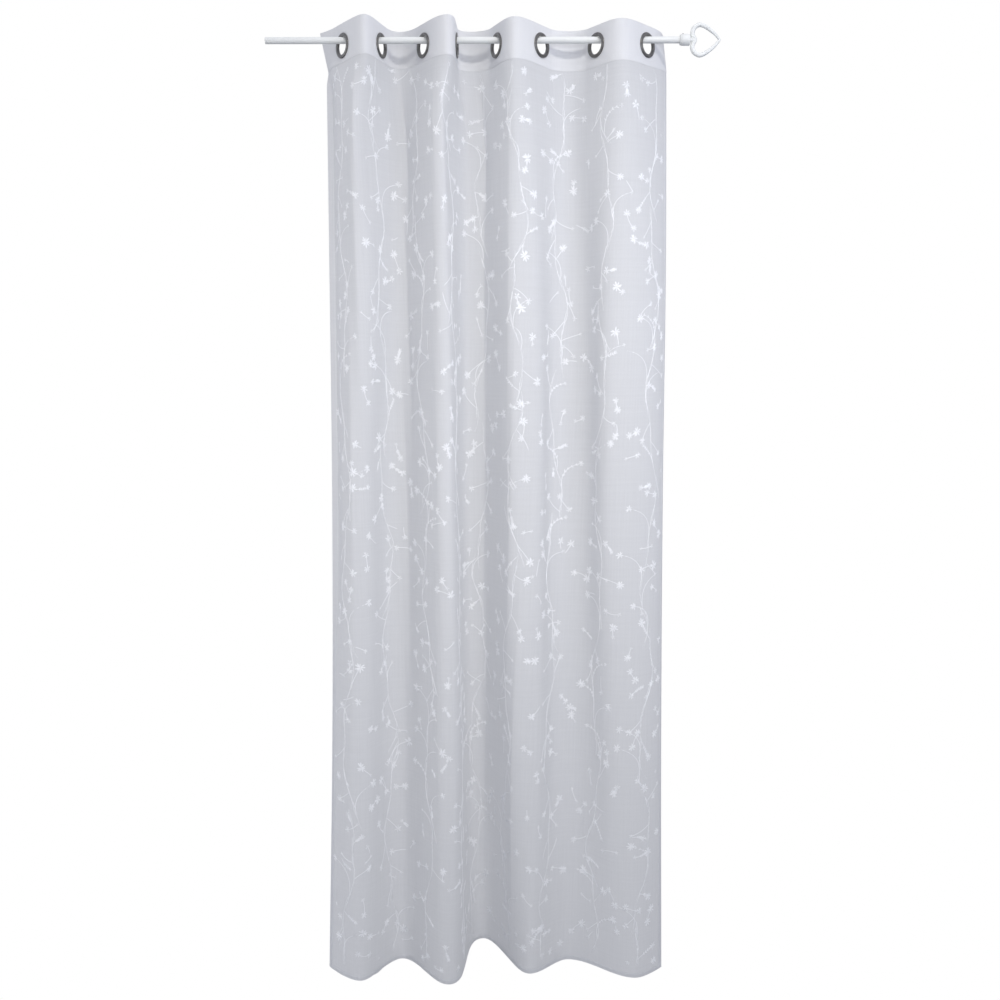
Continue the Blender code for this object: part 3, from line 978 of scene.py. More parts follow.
@dataclass
class Heading:
    """The stiffened strip along the top, with a round hole for each eyelet."""

    hang: Hang
    columns: int = 620
    rows: int = 42
    hole: float = 0.0262
    thickness: float = 0.0007
    rim: float = 0.003
    probe: float = 0.0005
    upper: np.ndarray = field(init=False)
    lower: np.ndarray = field(init=False)

    def __post_init__(self) -> None:
        """Works out the two edge lines once."""
        self.upper = self.hang.heading_line(Edge.UPPER)
        self.lower = self.hang.heading_line(Edge.LOWER)

    def at(self, u: np.ndarray, z: np.ndarray) -> np.ndarray:
        """Points of the strip: its plan goes in a straight line from the lower edge's to the upper edge's.

        Args:
            u: Places across the flat cloth.
            z: Heights.

        Returns:
            Points in space.
        """
        share = u / self.hang.width
        top = self.hang.edge_height(share, Edge.UPPER)
        low = self.hang.edge_height(share, Edge.LOWER)
        rise = ((z - low) / (top - low))[..., None]
        plan = resample(self.upper, share) * rise + resample(self.lower, share) * (1.0 - rise)
        return np.concatenate([plan, z[..., None]], axis=-1)

    def normal_at(self, u: np.ndarray, z: np.ndarray) -> np.ndarray:
        """Front-facing normals, square to the strip's slopes across and up."""
        step = self.probe
        across = self.at(u + step, z) - self.at(u - step, z)
        rise = self.at(u, z + step) - self.at(u, z - step)
        return unit(np.cross(across, rise))

    def build(self, finish: HeadingFinish, nodes: Sequence[str]) -> bpy.types.Object:
        """The strip, whose points inside each hole are moved out to the hole's rim.

        Args:
            finish: The doubled voile.
            nodes: The solids that the strip stands for.

        Returns:
            The piece, thickened.
        """
        share = np.linspace(0.0, 1.0, self.columns + 1)
        top = self.hang.edge_height(share, Edge.UPPER)
        low = self.hang.edge_height(share, Edge.LOWER)
        between = np.linspace(1.0, 0.0, self.rows - 1)[1:-1]
        rise = np.concatenate([[1.0, 1.0 - self.rim], between, [self.rim, 0.0]])[:, None]
        z = low + (top - low) * rise
        u = np.broadcast_to(share * self.hang.width, z.shape).copy()
        inside = np.zeros(z.shape, dtype=bool)
        for centre in self.hang.eyelet_shares() * self.hang.width:
            du, dz = u - centre, z + self.hang.eyelet_drop
            radius = np.hypot(du, dz)
            hit = radius < self.hole
            grow = np.where(hit, self.hole / np.maximum(radius, 1e-6), 1.0)
            u = centre + du * grow
            z = dz * grow - self.hang.eyelet_drop
            inside |= hit
        quads = grid_quads(self.rows + 1, self.columns + 1)
        quads = quads[~inside.ravel()[quads].all(axis=1)]
        used = np.unique(quads)
        renumber = np.full(inside.size, -1)
        renumber[used] = np.arange(len(used))
        points = self.at(u, z).reshape(-1, 3)[used]
        flat = np.stack([u, top - z], axis=-1).reshape(-1, 2)[used]
        piece = Shape(points, renumber[quads], flat=flat).made("heading_strip", finish.make())
        solid = piece.modifiers.new("cloth_thickness", "SOLIDIFY")
        solid.thickness = self.thickness
        solid.offset = 0.0
        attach(piece, BODY)
        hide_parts(*nodes)
        return piece


# ---------------------------------------------------------------- thread work
@dataclass
class Strands:
    """Lengths of thread of like point count, in flat cloth coordinates."""

    points: np.ndarray
    half_width: np.ndarray
    height: np.ndarray

    def shape(self, lay: Callable[[np.ndarray, np.ndarray, np.ndarray], np.ndarray]) -> Shape:
        """Four-sided tubes: each point gives two flat sides and a crown on each face of the cloth.

        The sides are the point plus and minus half_width square to the strand, and the crowns are
        the point plus and minus height.

        Args:
            lay: Puts flat coordinates and heights into space.

        Returns:
            All strands in one shape, each closed at both ends.
        """
        count, steps = self.half_width.shape
        side = square_to(unit(np.gradient(self.points, axis=1))) * self.half_width[..., None]
        flat = np.stack([self.points + side, self.points, self.points - side, self.points], axis=2)
        none = np.zeros_like(self.height)
        lift = np.stack([none, self.height, none, -self.height], axis=2)
        points = lay(flat[..., 0], flat[..., 1], lift).reshape(-1, 3)
        quads = grid_quads(steps, 4, wrap_columns=True)
        ends = np.array([[0, 1, 2, 3], 4 * steps - np.array([1, 2, 3, 4])])
        one = np.vstack([quads[:, ::-1], ends])
        offsets = np.arange(count)[:, None, None] * 4 * steps
        return Shape(points, (one[None] + offsets).reshape(-1, 4))


@dataclass(frozen=True)
class StitchForm:
    """How a short strand swells: places along it, and the shares of its width and height there."""

    places: tuple[float, ...]
    widths: tuple[float, ...]
    heights: tuple[float, ...] = (1.0, 1.0, 1.0, 1.0)

    def strands(
        self, starts: np.ndarray, ways: np.ndarray, reach: np.ndarray, half: np.ndarray, relief: float
    ) -> Strands:
        """Straight strands of this form.

        Args:
            starts, ways: Where each strand begins and its direction.
            reach, half: Its length and its greatest half width.
            relief: Its greatest height.

        Returns:
            The strands.
        """
        at = reach[:, None] * np.array(self.places)
        widths = half[:, None] * np.array(self.widths)
        heights = np.full_like(widths, relief) * np.array(self.heights)
        return Strands(starts[:, None] + ways[:, None] * at[..., None], widths, heights)


@dataclass(frozen=True)
class Flower:
    """A kind of star flower: its share of all sprig ends, its petals' sizes and their number."""

    low: float
    high: float
    size: tuple[float, float]
    petals: int


PETAL = StitchForm((0.08, 0.45, 0.80, 1.0), (0.25, 0.95, 0.85, 0.15), (0.9, 1.0, 0.8, 0.3))
LEAF = StitchForm((0.0, 0.4, 0.8, 1.0), (0.4, 1.0, 0.8, 0.15))
SEWN = StitchForm((-0.5, -0.25, 0.25, 0.5), (0.4, 1.0, 1.0, 0.4), (0.1, 1.0, 1.0, 0.1))
FLOWERS = (Flower(0.0, 0.30, (0.0110, 0.0150), 9), Flower(0.30, 0.66, (0.0085, 0.0120), 7))
BUD = Flower(0.66, 0.97, (0.0050, 0.0075), 5)


def bent_strands(starts: np.ndarray, ends: np.ndarray, bow: np.ndarray, steps: int) -> np.ndarray:
    """Bowed lines: the straight line between two ends plus bow·4t(1 - t) square to it.

    Args:
        starts, ends: Ends of each line.
        bow: How far each line's middle stands off, as a share of its length.
        steps: Points per line.

    Returns:
        Points, lines by steps by two.
    """
    t = np.linspace(0.0, 1.0, steps)[None, :, None]
    way = ends - starts
    swell = 4.0 * t * (1.0 - t)
    return starts[:, None] + way[:, None] * t + square_to(way)[:, None] * bow[:, None, None] * swell


@dataclass
class Embroidery:
    """A scattered all-over pattern of wavy stems, curved side sprigs, star flowers and buds."""

    panel: Panel
    seed: int = 41
    columns: int = 9
    repeat: float = 0.47
    sway: float = 0.020
    ripple: tuple[float, float] = (0.006, 0.17)
    twist: tuple[float, float] = (0.0016, 0.085)
    doubling: float = 0.0012
    phase_play: float = 0.6
    stagger: float = 0.05
    stem_length: tuple[float, float] = (0.36, 0.50)
    stem_overlap: tuple[float, float] = (0.02, 0.06)
    shortest_stem: float = 0.03
    end_curl: tuple[float, float] = (0.08, 0.022)
    stem_points: int = 140
    stem_width: float = 0.0008
    sprig_width: float = 0.0008
    # Side sprigs, whose places are in sixtieths of a stem.
    sprig_first: tuple[float, float] = (3.0, 8.0)
    sprig_last: float = 58.0
    sprig_step: tuple[float, float] = (6.5, 8.5)
    sprig_points: int = 9
    sprig_reach: tuple[float, float] = (0.030, 0.064)
    sprig_slant: tuple[float, float] = (18.0, 75.0)
    sprig_bow: float = 0.09
    rising: float = 0.3
    arches: float = 0.30
    arch_reach: tuple[float, float] = (0.075, 0.105)
    arch_slant: float = 35.0
    arch_bow: float = 0.26
    # Loose sprigs, one in each cell of a grid.
    loose_grid: tuple[int, int] = (17, 27)
    loose_place: tuple[float, float] = (0.05, 0.95)
    loose_ways: tuple[float, float] = (0.0, 1.4)
    loose_spread: float = 0.5
    loose_reach: tuple[float, float] = (0.018, 0.046)
    loose_bow: float = 0.10
    # Petals and leaves, with half widths as shares of their lengths.
    petal_scatter: float = 0.14
    petal_reach: tuple[float, float] = (0.72, 1.05)
    petal_half: float = 0.13
    petal_lift: float = 1.4
    leafy: float = 0.22
    leaf_roots: tuple[int, ...] = (3, 4, 5, 6, 7)
    leaf_lean: tuple[float, float] = (0.75, 0.66)
    leaf_reach: tuple[float, float] = (0.0045, 0.0080)
    leaf_half: float = 0.16
    # Stitches and thread, and the room that the pattern keeps free.
    taper: tuple[float, float] = (12.0, 0.35)
    wander: float = 0.0006
    stitch_run: int = 9
    run_widths: tuple[float, float] = (0.15, 1.25)
    stitch_widths: tuple[float, float] = (0.4, 1.2)
    relief: float = 0.0004
    apart: float = 0.019
    margin: float = 0.020
    top: float = 0.004
    bottom: float = 0.030

    def stems(self, rng: np.random.Generator) -> np.ndarray:
        """Centre lines of the stems: two sine waves of the way down, with a curl where each ends.

        Args:
            rng: Source of the pattern's chance.

        Returns:
            The stems' points in flat cloth coordinates.
        """
        spacing = self.panel.hang.width / self.columns
        lines = []
        for column in range(self.columns):
            centre = (column + 0.5) * spacing
            start = -(0.5 * self.repeat if column % 2 else 0.0) - rng.uniform(-self.stagger, self.stagger)
            while start < self.panel.length:
                length = rng.uniform(*self.stem_length)
                v = np.linspace(start, start + length, self.stem_points)
                phase = rng.uniform(-self.phase_play, self.phase_play) + math.pi * (column % 2)
                u = centre + self.sway * np.sin(2.0 * math.pi * v / self.repeat + phase)
                u += self.ripple[0] * np.sin(2.0 * math.pi * v / self.ripple[1] + 2.0 * phase)
                curl = np.clip((v - (start + length - self.end_curl[0])) / self.end_curl[0], 0.0, 1.0)
                u += rng.choice([-1.0, 1.0]) * self.end_curl[1] * curl**2
                lines.append(np.stack([u, v], axis=-1))
                start += length - rng.uniform(*self.stem_overlap)
        return np.array(lines)

    def kept(self, points: np.ndarray) -> np.ndarray:
        """Which lines lie wholly on the cloth, clear of its hems."""
        u, v = points[..., 0], points[..., 1]
        width = self.panel.hang.width
        inside = (u > self.margin) & (u < width - self.margin)
        inside &= (v > self.top) & (v < self.panel.length - self.bottom)
        return inside.all(axis=1)

    def sprigs(self, stems: np.ndarray, rng: np.random.Generator) -> tuple[np.ndarray, np.ndarray]:
        """Side sprigs that leave the stems left and right in turn, mostly up or down along them.

        Args:
            stems: Centre lines of the stems.
            rng: Source of the pattern's chance.

        Returns:
            Sprig lines and where each ends.
        """
        starts, ends, bows = [], [], []
        for line in stems:
            first, step = rng.uniform(*self.sprig_first), rng.uniform(*self.sprig_step)
            sixtieths = np.arange(first, self.sprig_last, step)
            for turn, place in enumerate(self.stem_points / 60 * sixtieths):
                here = line[int(place)]
                side = 1.0 if turn % 2 else -1.0
                slant = math.radians(rng.uniform(*self.sprig_slant))
                arched = rng.random() < self.arches
                fall = -1.0 if arched or rng.random() < self.rising else 1.0
                reach = rng.uniform(*(self.arch_reach if arched else self.sprig_reach))
                slant = math.radians(self.arch_slant) if arched else slant
                starts.append(here)
                ends.append(here + reach * np.array([side * math.sin(slant), fall * math.cos(slant)]))
                bows.append(self.arch_bow * side if arched else rng.uniform(-self.sprig_bow, self.sprig_bow))
        tips = np.array(ends)
        return bent_strands(np.array(starts), tips, np.array(bows), self.sprig_points), tips

    def loose_sprigs(self, rng: np.random.Generator) -> tuple[np.ndarray, np.ndarray]:
        """Short bowed sprigs that stand free between the stems, one in each cell of a loose grid.

        Args:
            rng: Source of the pattern's chance.

        Returns:
            Sprig lines and all their ends.
        """
        across, down = self.loose_grid
        count = across * down
        column, row = np.meshgrid(np.arange(across), np.arange(down))
        u = (column.ravel() + rng.uniform(*self.loose_place, count)) * self.panel.hang.width / across
        v = (row.ravel() + rng.uniform(*self.loose_place, count)) * self.panel.length / down
        starts = np.stack([u, v], axis=-1)
        level = rng.random(count) < 0.5
        flat, steep = (rng.normal(way, self.loose_spread, count) for way in self.loose_ways)
        angle = np.where(level, flat, steep)
        reach = rng.uniform(*self.loose_reach, count)
        ends = starts + reach[:, None] * np.stack([np.cos(angle), np.sin(angle)], axis=-1)
        bow = rng.uniform(0.0, self.loose_bow, count) * rng.choice([-1.0, 1.0], count)
        return bent_strands(starts, ends, bow, self.sprig_points), np.vstack([starts, ends])

    def petals(self, centres: np.ndarray, kind: Flower, rng: np.random.Generator) -> Strands:
        """Narrow petals that stand out all round each centre.

        Args:
            centres: Where the flowers are.
            kind: Their petals' sizes and number.
            rng: Source of the pattern's chance.

        Returns:
            One short swelling strand for each petal.
        """
        flowers = len(centres)
        start = rng.uniform(0.0, 2.0 * math.pi, flowers)[:, None]
        angle = start + 2.0 * math.pi * np.arange(kind.petals)[None, :] / kind.petals
        angle = angle + rng.normal(0.0, self.petal_scatter, angle.shape)
        reach = rng.uniform(*kind.size, flowers)[:, None] * rng.uniform(*self.petal_reach, angle.shape)
        reach = reach.reshape(-1)
        ways = np.stack([np.cos(angle), np.sin(angle)], axis=-1).reshape(-1, 2)
        middles = np.repeat(centres, kind.petals, axis=0)
        return PETAL.strands(middles, ways, reach, reach * self.petal_half, self.relief * self.petal_lift)

    def leaves(self, lines: np.ndarray, rng: np.random.Generator) -> Strands:
        """Pairs of small slanting leaves along some sprigs, as in a herringbone.

        Args:
            lines: The sprigs that carry leaves.
            rng: Source of the pattern's chance.

        Returns:
            One short swelling strand for each leaf.
        """
        at = np.array(self.leaf_roots)
        roots = lines[:, at]
        way = unit(lines[:, at + 1] - lines[:, at - 1])
        ahead, aside = self.leaf_lean[0] * way, self.leaf_lean[1] * square_to(way)
        ways = np.concatenate([ahead + aside, ahead - aside], axis=1).reshape(-1, 2)
        starts = np.concatenate([roots, roots], axis=1).reshape(-1, 2)
        reach = rng.uniform(*self.leaf_reach, len(starts))
        return LEAF.strands(starts, ways, reach, reach * self.leaf_half, self.relief)

    def lines_as_strands(self, lines: np.ndarray, half: float) -> Strands:
        """Thread along lines, thin at both ends."""
        steps = lines.shape[1]
        t = np.linspace(0.0, 1.0, steps)
        taper = np.clip(np.minimum(t, 1.0 - t) * self.taper[0], self.taper[1], 1.0)
        width = np.broadcast_to(half * taper, lines.shape[:2]).copy()
        return Strands(lines, width, np.full(lines.shape[:2], self.relief))

    def uneven(self, strands: Strands, rng: np.random.Generator) -> Strands:
        """Strands whose stitches wander from side to side and are now wide, now narrow."""
        shape = strands.half_width.shape
        strands.points[..., 0] += rng.normal(0.0, self.wander, shape)
        worn = rng.uniform(*self.run_widths, (shape[0], shape[1] // self.stitch_run + 1))
        fade = np.repeat(worn, self.stitch_run, axis=1)[:, : shape[1]]
        strands.half_width = strands.half_width * fade * rng.uniform(*self.stitch_widths, shape)
        return strands

    def build(self, finish: ThreadFinish) -> list[bpy.types.Object]:
        """Lays the whole pattern on the panel.

        Args:
            finish: The embroidery thread.

        Returns:
            Its pieces: stems, sprigs, flowers and buds.
        """
        rng = np.random.default_rng(self.seed)
        stems = self.stems(rng)
        twist = self.twist[0] * np.sin(2.0 * math.pi * stems[..., 1] / self.twist[1])
        still = np.zeros_like(twist)
        doubled = stems + np.stack([twist + self.doubling, still], axis=-1)
        single = stems - np.stack([twist, still], axis=-1)
        side, tips = self.sprigs(stems, rng)
        loose, both = self.loose_sprigs(rng)
        on_cloth = self.clipped_stems(np.vstack([single, doubled]))
        stem_strands = self.uneven(self.lines_as_strands(on_cloth, self.stem_width), rng)
        lines = np.vstack([side, loose])
        lines = lines[self.kept(lines)]
        leafy = lines[rng.random(len(lines)) < self.leafy]
        tips = np.vstack([tips, both])
        tips = self.spread_out(tips[self.kept(tips[:, None, :])])
        work = {
            "embroidery_stems": [stem_strands],
            "embroidery_sprigs": [self.lines_as_strands(lines, self.sprig_width), self.leaves(leafy, rng)],
        }
        pick = rng.random(len(tips))
        for name, kinds in (("embroidery_flowers", FLOWERS), ("embroidery_buds", (BUD,))):
            chosen = [(tips[(pick >= kind.low) & (pick < kind.high)], kind) for kind in kinds]
            work[name] = [self.petals(centres, kind, rng) for centres, kind in chosen]
        material = finish.make()
        pieces = []
        for name, strands in work.items():
            shape = Shape.joined([part.shape(self.panel.at) for part in strands])
            pieces.append(shape.made(name, material, smooth=False))
        for piece in pieces:
            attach(piece, BODY)
        return pieces

    def spread_out(self, points: np.ndarray) -> np.ndarray:
        """Leaves out each point that is nearer than `apart` to one that comes before it."""
        gap = np.linalg.norm(points[:, None] - points[None], axis=-1)
        near = np.tril(gap < self.apart, -1)
        kept: list[int] = []
        for index in range(len(points)):
            if not near[index, kept].any():
                kept.append(index)
        return points[kept]

    def clipped_stems(self, lines: np.ndarray) -> np.ndarray:
        """Stems cut off at the seam and the bottom hem, each drawn again over what is left."""
        low = np.maximum(lines[:, 0, 1], self.top)
        high = np.minimum(lines[:, -1, 1], self.panel.length - self.bottom)
        keep = high - low > self.shortest_stem
        lines, low, high = lines[keep], low[keep], high[keep]
        steps = lines.shape[1]
        wanted = low[:, None] + (high - low)[:, None] * np.linspace(0.0, 1.0, steps)
        u = np.array([np.interp(at, line[:, 1], line[:, 0]) for at, line in zip(wanted, lines)])
        u = np.clip(u, self.margin, self.panel.hang.width - self.margin)
        return np.stack([u, wanted], axis=-1)


@dataclass
class Stitching:
    """Rows of short sewn stitches along the hems and the heading's seam."""

    panel: Panel
    heading: Heading
    pitch: float = 0.0046
    fill: float = 0.72
    half: float = 0.00035
    relief: float = 0.00035
    side_inset: float = 0.0145
    bottom_inset: float = 0.0098
    seam_inset: float = 0.001
    seam_rises: tuple[float, float] = (0.0022, 0.0140)

    def row(self, start: tuple[float, float], end: tuple[float, float]) -> Strands:
        """Stitches at an even pitch on a straight line of the flat cloth.

        Args:
            start, end: Ends of the row.

        Returns:
            One short strand per stitch.
        """
        line = np.array(end) - np.array(start)
        length = float(np.linalg.norm(line))
        places = np.arange(0.5 * self.pitch, length - 0.5 * self.pitch, self.pitch)
        middles = np.array(start) + places[:, None] * line / length
        ways = np.broadcast_to(line / length, middles.shape)
        reach = np.full(len(places), self.fill * self.pitch)
        return SEWN.strands(middles, ways, reach, np.full(len(places), self.half), self.relief)

    def on_heading(self, u: np.ndarray, v: np.ndarray, height: np.ndarray) -> np.ndarray:
        """Places heading stitches, v above the lower edge, on both faces of the strip."""
        low = self.heading.hang.edge_height(u / self.heading.hang.width, Edge.LOWER)
        z = low + v
        away = height + np.sign(height) * 0.5 * self.heading.thickness
        return self.heading.at(u, z) + away[..., None] * self.heading.normal_at(u, z)

    def build(self, finish: ThreadFinish) -> list[bpy.types.Object]:
        """All rows of stitches, as one piece on the panel and one on the heading."""
        width, length = self.panel.hang.width, self.panel.length
        low = length - self.bottom_inset
        hems = [self.row((u, 0.0), (u, length)) for u in (self.side_inset, width - self.side_inset)]
        hems.append(self.row((0.0, low), (width, low)))
        ends = (self.seam_inset, width - self.seam_inset)
        seams = [self.row((ends[0], rise), (ends[1], rise)) for rise in self.seam_rises]
        on_panel, on_strip = (
            Shape.joined([row.shape(lay) for row in rows])
            for rows, lay in ((hems, self.panel.at), (seams, self.on_heading))
        )
        material = finish.make()
        on_panel = on_panel.made("hem_stitches", material, smooth=False)
        on_strip = on_strip.made("heading_stitches", material, smooth=False)
        for piece, slot in ((on_panel, "white_voile"), (on_strip, "white_heading")):
            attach(piece, BODY)
        return [on_panel, on_strip]


# ---------------------------------------------------------------- metal and painted pieces
@dataclass
class Eyelets:
    """Eight pressed rings, each with a rounded flange on both faces of the heading."""

    hang: Hang
    inner: float = 0.0212
    outer: float = 0.0302
    neck: float = 0.0240
    seat: float = 0.0012
    arch: float = 0.0026
    squareness: tuple[float, float] = (0.8, 0.7)
    roll: float = 0.0004
    arch_points: int = 13
    steps: int = 72

    def profile(self) -> np.ndarray:
        """Section of the ring: a low arch from rim to rim on each face, and the neck between them."""
        turn = np.linspace(0.0, math.pi, self.arch_points)
        middle = 0.5 * (self.outer + self.inner)
        reach = 0.5 * (self.outer - self.inner)
        radius = middle + reach * np.sign(np.cos(turn)) * np.abs(np.cos(turn)) ** self.squareness[0]
        height = self.seat + self.arch * np.abs(np.sin(turn)) ** self.squareness[1]
        front = np.stack([radius, height], axis=-1)
        front[-1] = (self.inner, self.seat - self.roll)
        back = front[::-1] * np.array([1.0, -1.0])
        neck = np.array([[self.neck, -self.seat], [self.neck, self.seat]])
        return np.vstack([front, back, neck])

    def build(self, finish: MetalFinish) -> list[bpy.types.Object]:
        """The rings, each turned with the run of cloth that it sits in.

        Args:
            finish: The plated metal.

        Returns:
            One piece per eyelet.
        """
        material = finish.make()
        pieces = []
        for number, row in enumerate(EYELETS, start=1):
            way = row.way()
            through = np.array([-way[1], way[0], 0.0])
            across = np.array([way[0], way[1], 0.0])
            centre = np.array([row.x, 0.0, -self.hang.eyelet_drop])
            shape = lathed(self.profile()[::-1], self.steps, through, across, centre)
            piece = shape.made(f"ring_{number}", material)
            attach(piece, BODY)
            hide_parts(f"eyelet_{number}")
            pieces.append(piece)
        return pieces


# Upper half of the heart's centre line, from its notch to its tip: (along the rod, up, wire radius).
HEART_HALF = (
    (0.4988, 0.0000, 0.0054),
    (0.4938, 0.0096, 0.0056),
    (0.4929, 0.0192, 0.0057),
    (0.4976, 0.0298, 0.0057),
    (0.5096, 0.0363, 0.0056),
    (0.5220, 0.0331, 0.0052),
    (0.5364, 0.0240, 0.0046),
    (0.5498, 0.0127, 0.0038),
    (0.5603, 0.0000, 0.0031),
)


@dataclass
class RodAndFinial:
    """The thin rod, its socket with a set screw, and the open cast heart."""

    rod_radius: float = 0.0081
    collar_left: float = 0.4615
    collar_right: float = 0.4864
    collar_radius: float = 0.0136
    collar_bore: float = 0.0085
    bore_depth: float = 0.0140
    screw_radius: float = 0.0020
    screw_x: float = 0.4692
    neck_radius: float = 0.0062
    neck_waist: float = 0.0009
    neck_gap: float = 0.0004
    neck_points: int = 9
    rounding: float = 0.0006
    steps: int = 64
    screw_steps: int = 24
    wire_sides: int = 20
    neck_sides: int = 28

    def rod(self, finish: PaintFinish) -> bpy.types.Object:
        """A round bar with a small rounding at both ends, as long as its solid."""
        low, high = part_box("rod")
        start, length = low.x, high.x - low.x
        radius, edge = self.rod_radius, self.rounding
        profile = np.array([
            (0.0, length),
            (radius - edge, length),
            (radius - 0.3 * edge, length - 0.3 * edge),
            (radius, length - edge),
            *[(radius, length * share) for share in np.linspace(0.97, 0.03, 24)],
            (radius, edge),
            (radius - 0.3 * edge, 0.3 * edge),
            (radius - edge, 0.0),
            (0.0, 0.0),
        ])
        shape = lathed(profile, self.steps, ALONG, UP, np.array([start, 0.0, 0.0]))
        return self.placed(shape.made("painted_rod", finish.make()), "rod")

    def collar(self, finish: PaintFinish) -> bpy.types.Object:
        """The socket: a turned sleeve with a groove near its open end."""
        length = self.collar_right - self.collar_left
        radius, bore = self.collar_radius, self.collar_bore
        profile = np.array([
            (0.0, length),
            (radius - 0.0030, length),
            (radius - 0.0014, length - 0.0003),
            (radius - 0.0005, length - 0.0010),
            (radius, length - 0.0024),
            (radius, 0.0046),
            (radius - 0.0003, 0.0041),
            (radius - 0.0012, 0.0036),
            (radius - 0.0012, 0.0010),
            (radius - 0.0015, 0.0003),
            (radius - 0.0022, 0.0),
            (bore + 0.0004, 0.0),
            (bore, 0.0004),
            (bore, self.bore_depth),
            (0.0, self.bore_depth),
        ])
        shape = lathed(profile, self.steps, ALONG, UP, np.array([self.collar_left, 0.0, 0.0]))
        return self.placed(shape.made("painted_collar", finish.make()), "finial_collar")

    def screw(self, finish: MetalFinish) -> bpy.types.Object:
        """The small set screw with a rounded head and a hollow for its key."""
        low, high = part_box("finial_set_screw")
        radius, height = self.screw_radius, high.z - low.z
        profile = np.array([
            (0.0, height - 0.0010),
            (0.45 * radius, height - 0.0010),
            (0.50 * radius, height - 0.0001),
            (0.78 * radius, height),
            (0.97 * radius, height - 0.0004),
            (radius, height - 0.0008),
            (radius, 0.0003),
            (0.85 * radius, 0.0),
            (0.0, 0.0),
        ])
        shape = lathed(profile, self.screw_steps, UP, ALONG, np.array([self.screw_x, 0.0, low.z]))
        return self.placed(shape.made("set_screw", finish.make()), "finial_set_screw")

    def heart_line(self) -> np.ndarray:
        """Heart's centre line and radii: a smooth cubic through its marks, with a corner at the tip."""
        half = np.array(HEART_HALF)
        marks = np.vstack([half, (half[1:-1] * np.array([1.0, -1.0, 1.0]))[::-1]])
        tip = len(half) - 1
        order = np.arange(len(marks))
        before, here = marks[order - 1], marks
        after, beyond = np.roll(marks, -1, axis=0), np.roll(marks, -2, axis=0)
        start_way, end_way = 0.5 * (after - before), 0.5 * (beyond - here)
        start_way[tip] = (after - here)[tip]
        end_way[tip - 1] = (after - here)[tip - 1]
        t = np.linspace(0.0, 1.0, 9)[:-1][None, :, None]
        line = cubic(here[:, None], start_way[:, None], after[:, None], end_way[:, None], t)
        return line.reshape(-1, 3)

    def heart(self, finish: PaintFinish) -> bpy.types.Object:
        """The open heart, a closed loop of cast wire, with a short neck from the collar."""
        line = self.heart_line()
        path = np.stack([line[:, 0], np.zeros(len(line)), line[:, 1]], axis=-1)
        wire = tube(path, line[:, 2], BACK, self.wire_sides, wrap=True)
        start, end = self.collar_right + self.neck_gap, HEART_HALF[0][0]
        span = np.linspace(start, end, self.neck_points)
        flare = self.neck_radius - self.neck_waist * np.sin(math.pi * (span - start) / (end - start))
        neck = tube(span[:, None] * ALONG, flare, BACK, self.neck_sides, wrap=False)
        shape = Shape.joined([wire, neck])
        return self.placed(shape.made("cast_heart", finish.make()), "finial_heart")

    def placed(self, piece: bpy.types.Object, node: str) -> bpy.types.Object:
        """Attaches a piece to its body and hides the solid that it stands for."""
        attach(piece, BODY)
        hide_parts(node)
        return piece


# ---------------------------------------------------------------- the studio
@dataclass(frozen=True)
class Lamp:
    """One soft area light that points at a place."""

    name: str
    place: Place
    target: Place
    size: tuple[float, float]
    power: float
    colour: Colour = (1.0, 1.0, 1.0)
    spread: float = 180.0

    def make(self) -> bpy.types.Object:
        """The light, turned to its target."""
        data = bpy.data.lights.new(self.name, "AREA")
        data.shape = "RECTANGLE"
        data.size, data.size_y = self.size
        data.energy = self.power
        data.color = self.colour
        data.spread = math.radians(self.spread)
        item = bpy.data.objects.new(self.name, data)
        item.location = self.place
        aim = Vector(self.target) - Vector(self.place)
        item.rotation_euler = aim.to_track_quat("-Z", "Y").to_euler()
        bpy.context.scene.collection.objects.link(item)
        return item


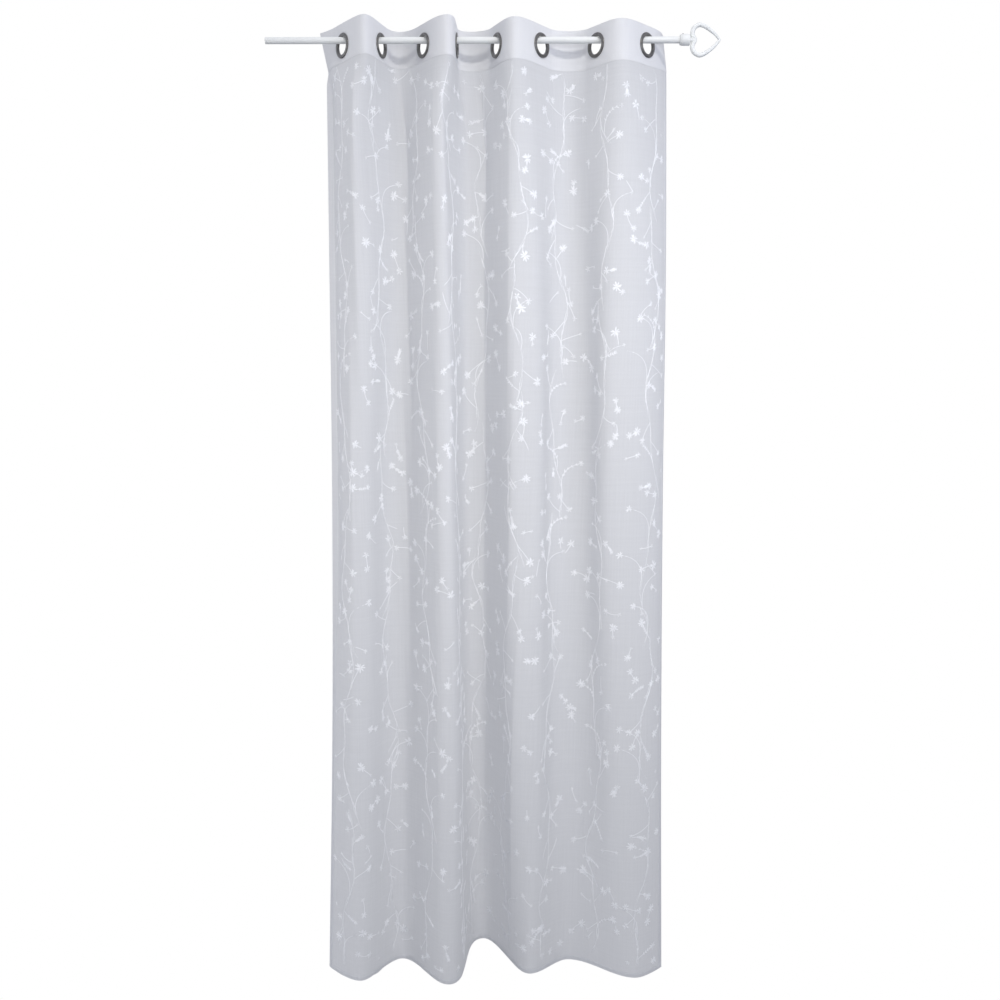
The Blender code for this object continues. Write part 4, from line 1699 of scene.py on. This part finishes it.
@dataclass
class Studio:
    """A pale floor, an even white surround, soft lamps and the camera."""

    floor_gap: float = 0.045
    floor_reach: float = 14.0
    floor_lines: int = 9
    floor_colour: Colour = (0.30, 0.31, 0.33)
    fill: Colour = (0.700, 0.720, 0.800)
    camera_place: Place = (0.0143, -2.8022, -0.8737)
    camera_tilt: float = 5.526
    camera_roll: float = 0.1
    lens: float = 39.29
    sensor: float = 36.0
    lamps: tuple[Lamp, ...] = (
        Lamp("key", (0.75, -2.60, 1.35), (0.0, 0.0, -1.45), (0.14, 0.14), 6.9, (1.0, 0.98, 0.93), 60.0),
        Lamp("front", (0.20, -2.30, -0.45), (0.0, 0.0, -0.55), (1.30, 0.80), 1.7, (1.0, 0.96, 0.88), 80.0),
        Lamp("right", (1.75, -1.85, -0.45), (0.0, 0.0, -0.45), (1.00, 0.80), 3.3, (0.78, 0.83, 1.0), 80.0),
        Lamp("left", (-2.40, -0.60, -0.85), (0.0, 0.0, -0.75), (1.40, 2.00), 11.3, (1.0, 0.99, 0.97)),
    )

    def surround(self) -> None:
        """White behind everything that is looked at, and an even grey fill as light."""
        world = bpy.data.worlds.new("surround")
        bpy.context.scene.world = world
        world.use_nodes = True
        graph = Graph(world.node_tree)
        seen = graph.node("ShaderNodeLightPath")
        fill = graph.node("ShaderNodeBackground", None, {"Color": (*self.fill, 1.0), "Strength": 1.0})
        white = graph.node("ShaderNodeBackground", None, {"Color": WHITE, "Strength": 1.0})
        mixed = graph.node("ShaderNodeMixShader", None, [seen, fill, white])
        graph.output(mixed, "ShaderNodeOutputWorld")

    def floor(self, hem: float) -> bpy.types.Object:
        """A pale floor a little under the hem."""
        material, graph = new_material("pale_floor")
        seen = graph.node("ShaderNodeLightPath")
        matt = graph.node("ShaderNodeBsdfDiffuse", None, {"Color": (*self.floor_colour, 1.0)})
        white = graph.node("ShaderNodeEmission", None, {"Color": WHITE, "Strength": 1.0})
        graph.output(graph.node("ShaderNodeMixShader", None, [seen, matt, white]))
        reach = np.linspace(-self.floor_reach, self.floor_reach, self.floor_lines)
        x, y = np.meshgrid(reach, reach)
        points = np.stack([x, y, np.full_like(x, hem - self.floor_gap)], axis=-1)
        shape = Shape(points.reshape(-1, 3), grid_quads(self.floor_lines, self.floor_lines)[:, ::-1])
        item = shape.made("studio_floor", material, smooth=False)
        item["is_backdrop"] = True
        return item

    def camera(self) -> bpy.types.Object:
        """The camera, level with the upper half of the curtain and tilted a little down."""
        data = bpy.data.cameras.new("camera")
        data.lens = self.lens
        data.sensor_width = self.sensor
        item = bpy.data.objects.new("camera", data)
        item.location = self.camera_place
        tilt = math.radians(90.0 - self.camera_tilt)
        item.rotation_euler = (tilt, math.radians(self.camera_roll), 0.0)
        bpy.context.scene.collection.objects.link(item)
        bpy.context.scene.camera = item
        return item

    def build(self, hem: float) -> None:
        """Sets up the whole studio."""
        self.surround()
        self.floor(hem)
        self.camera()
        for lamp in self.lamps:
            lamp.make()
        view = bpy.context.scene.view_settings
        view.view_transform = "Standard"
        view.look = "None"


# ---------------------------------------------------------------- assembly
def report(pieces: Sequence[bpy.types.Object]) -> None:
    """Logs each piece with its face count."""
    for piece in pieces:
        LOG.info("%s: %d faces", piece.name, len(piece.data.polygons))


def main() -> None:
    """Builds the pieces in order, dresses them and sets up the studio."""
    logging.basicConfig(level=logging.INFO, format="%(name)s %(message)s")
    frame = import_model()
    cad_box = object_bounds()
    hang = Hang()
    panel = Panel(hang)
    heading = Heading(hang)
    sheet = panel.build(VoileFinish())
    strip_nodes = sorted(name for name in frame["nodes"] if name.startswith("heading"))
    strip = heading.build(HeadingFinish(), strip_nodes)
    sewing = ThreadFinish("sewing_thread", (0.80, 0.805, 0.815), (0.86, 0.865, 0.875), 0.5, 0.4)
    work = Embroidery(panel).build(ThreadFinish())
    stitches = Stitching(panel, heading).build(sewing)
    pewter = MetalFinish("pewter", (0.13, 0.125, 0.12), (0.25, 0.245, 0.235), 0.22, 0.36)
    steel = MetalFinish("screw_steel_worn", (0.30, 0.30, 0.29), (0.42, 0.42, 0.41), 0.3, 0.45)
    rings = Eyelets(hang).build(pewter)
    bar = RodAndFinial()
    metal = [
        bar.rod(PaintFinish("rod_paint")),
        bar.collar(PaintFinish("collar_paint", lumps=0.15)),
        bar.screw(steel),
        bar.heart(PaintFinish("cast_paint", lumps=0.30)),
    ]
    report([sheet, strip, *work, *stitches, *rings, *metal])
    Studio().build(cad_box[0].z)


if __name__ == "__main__":
    main()
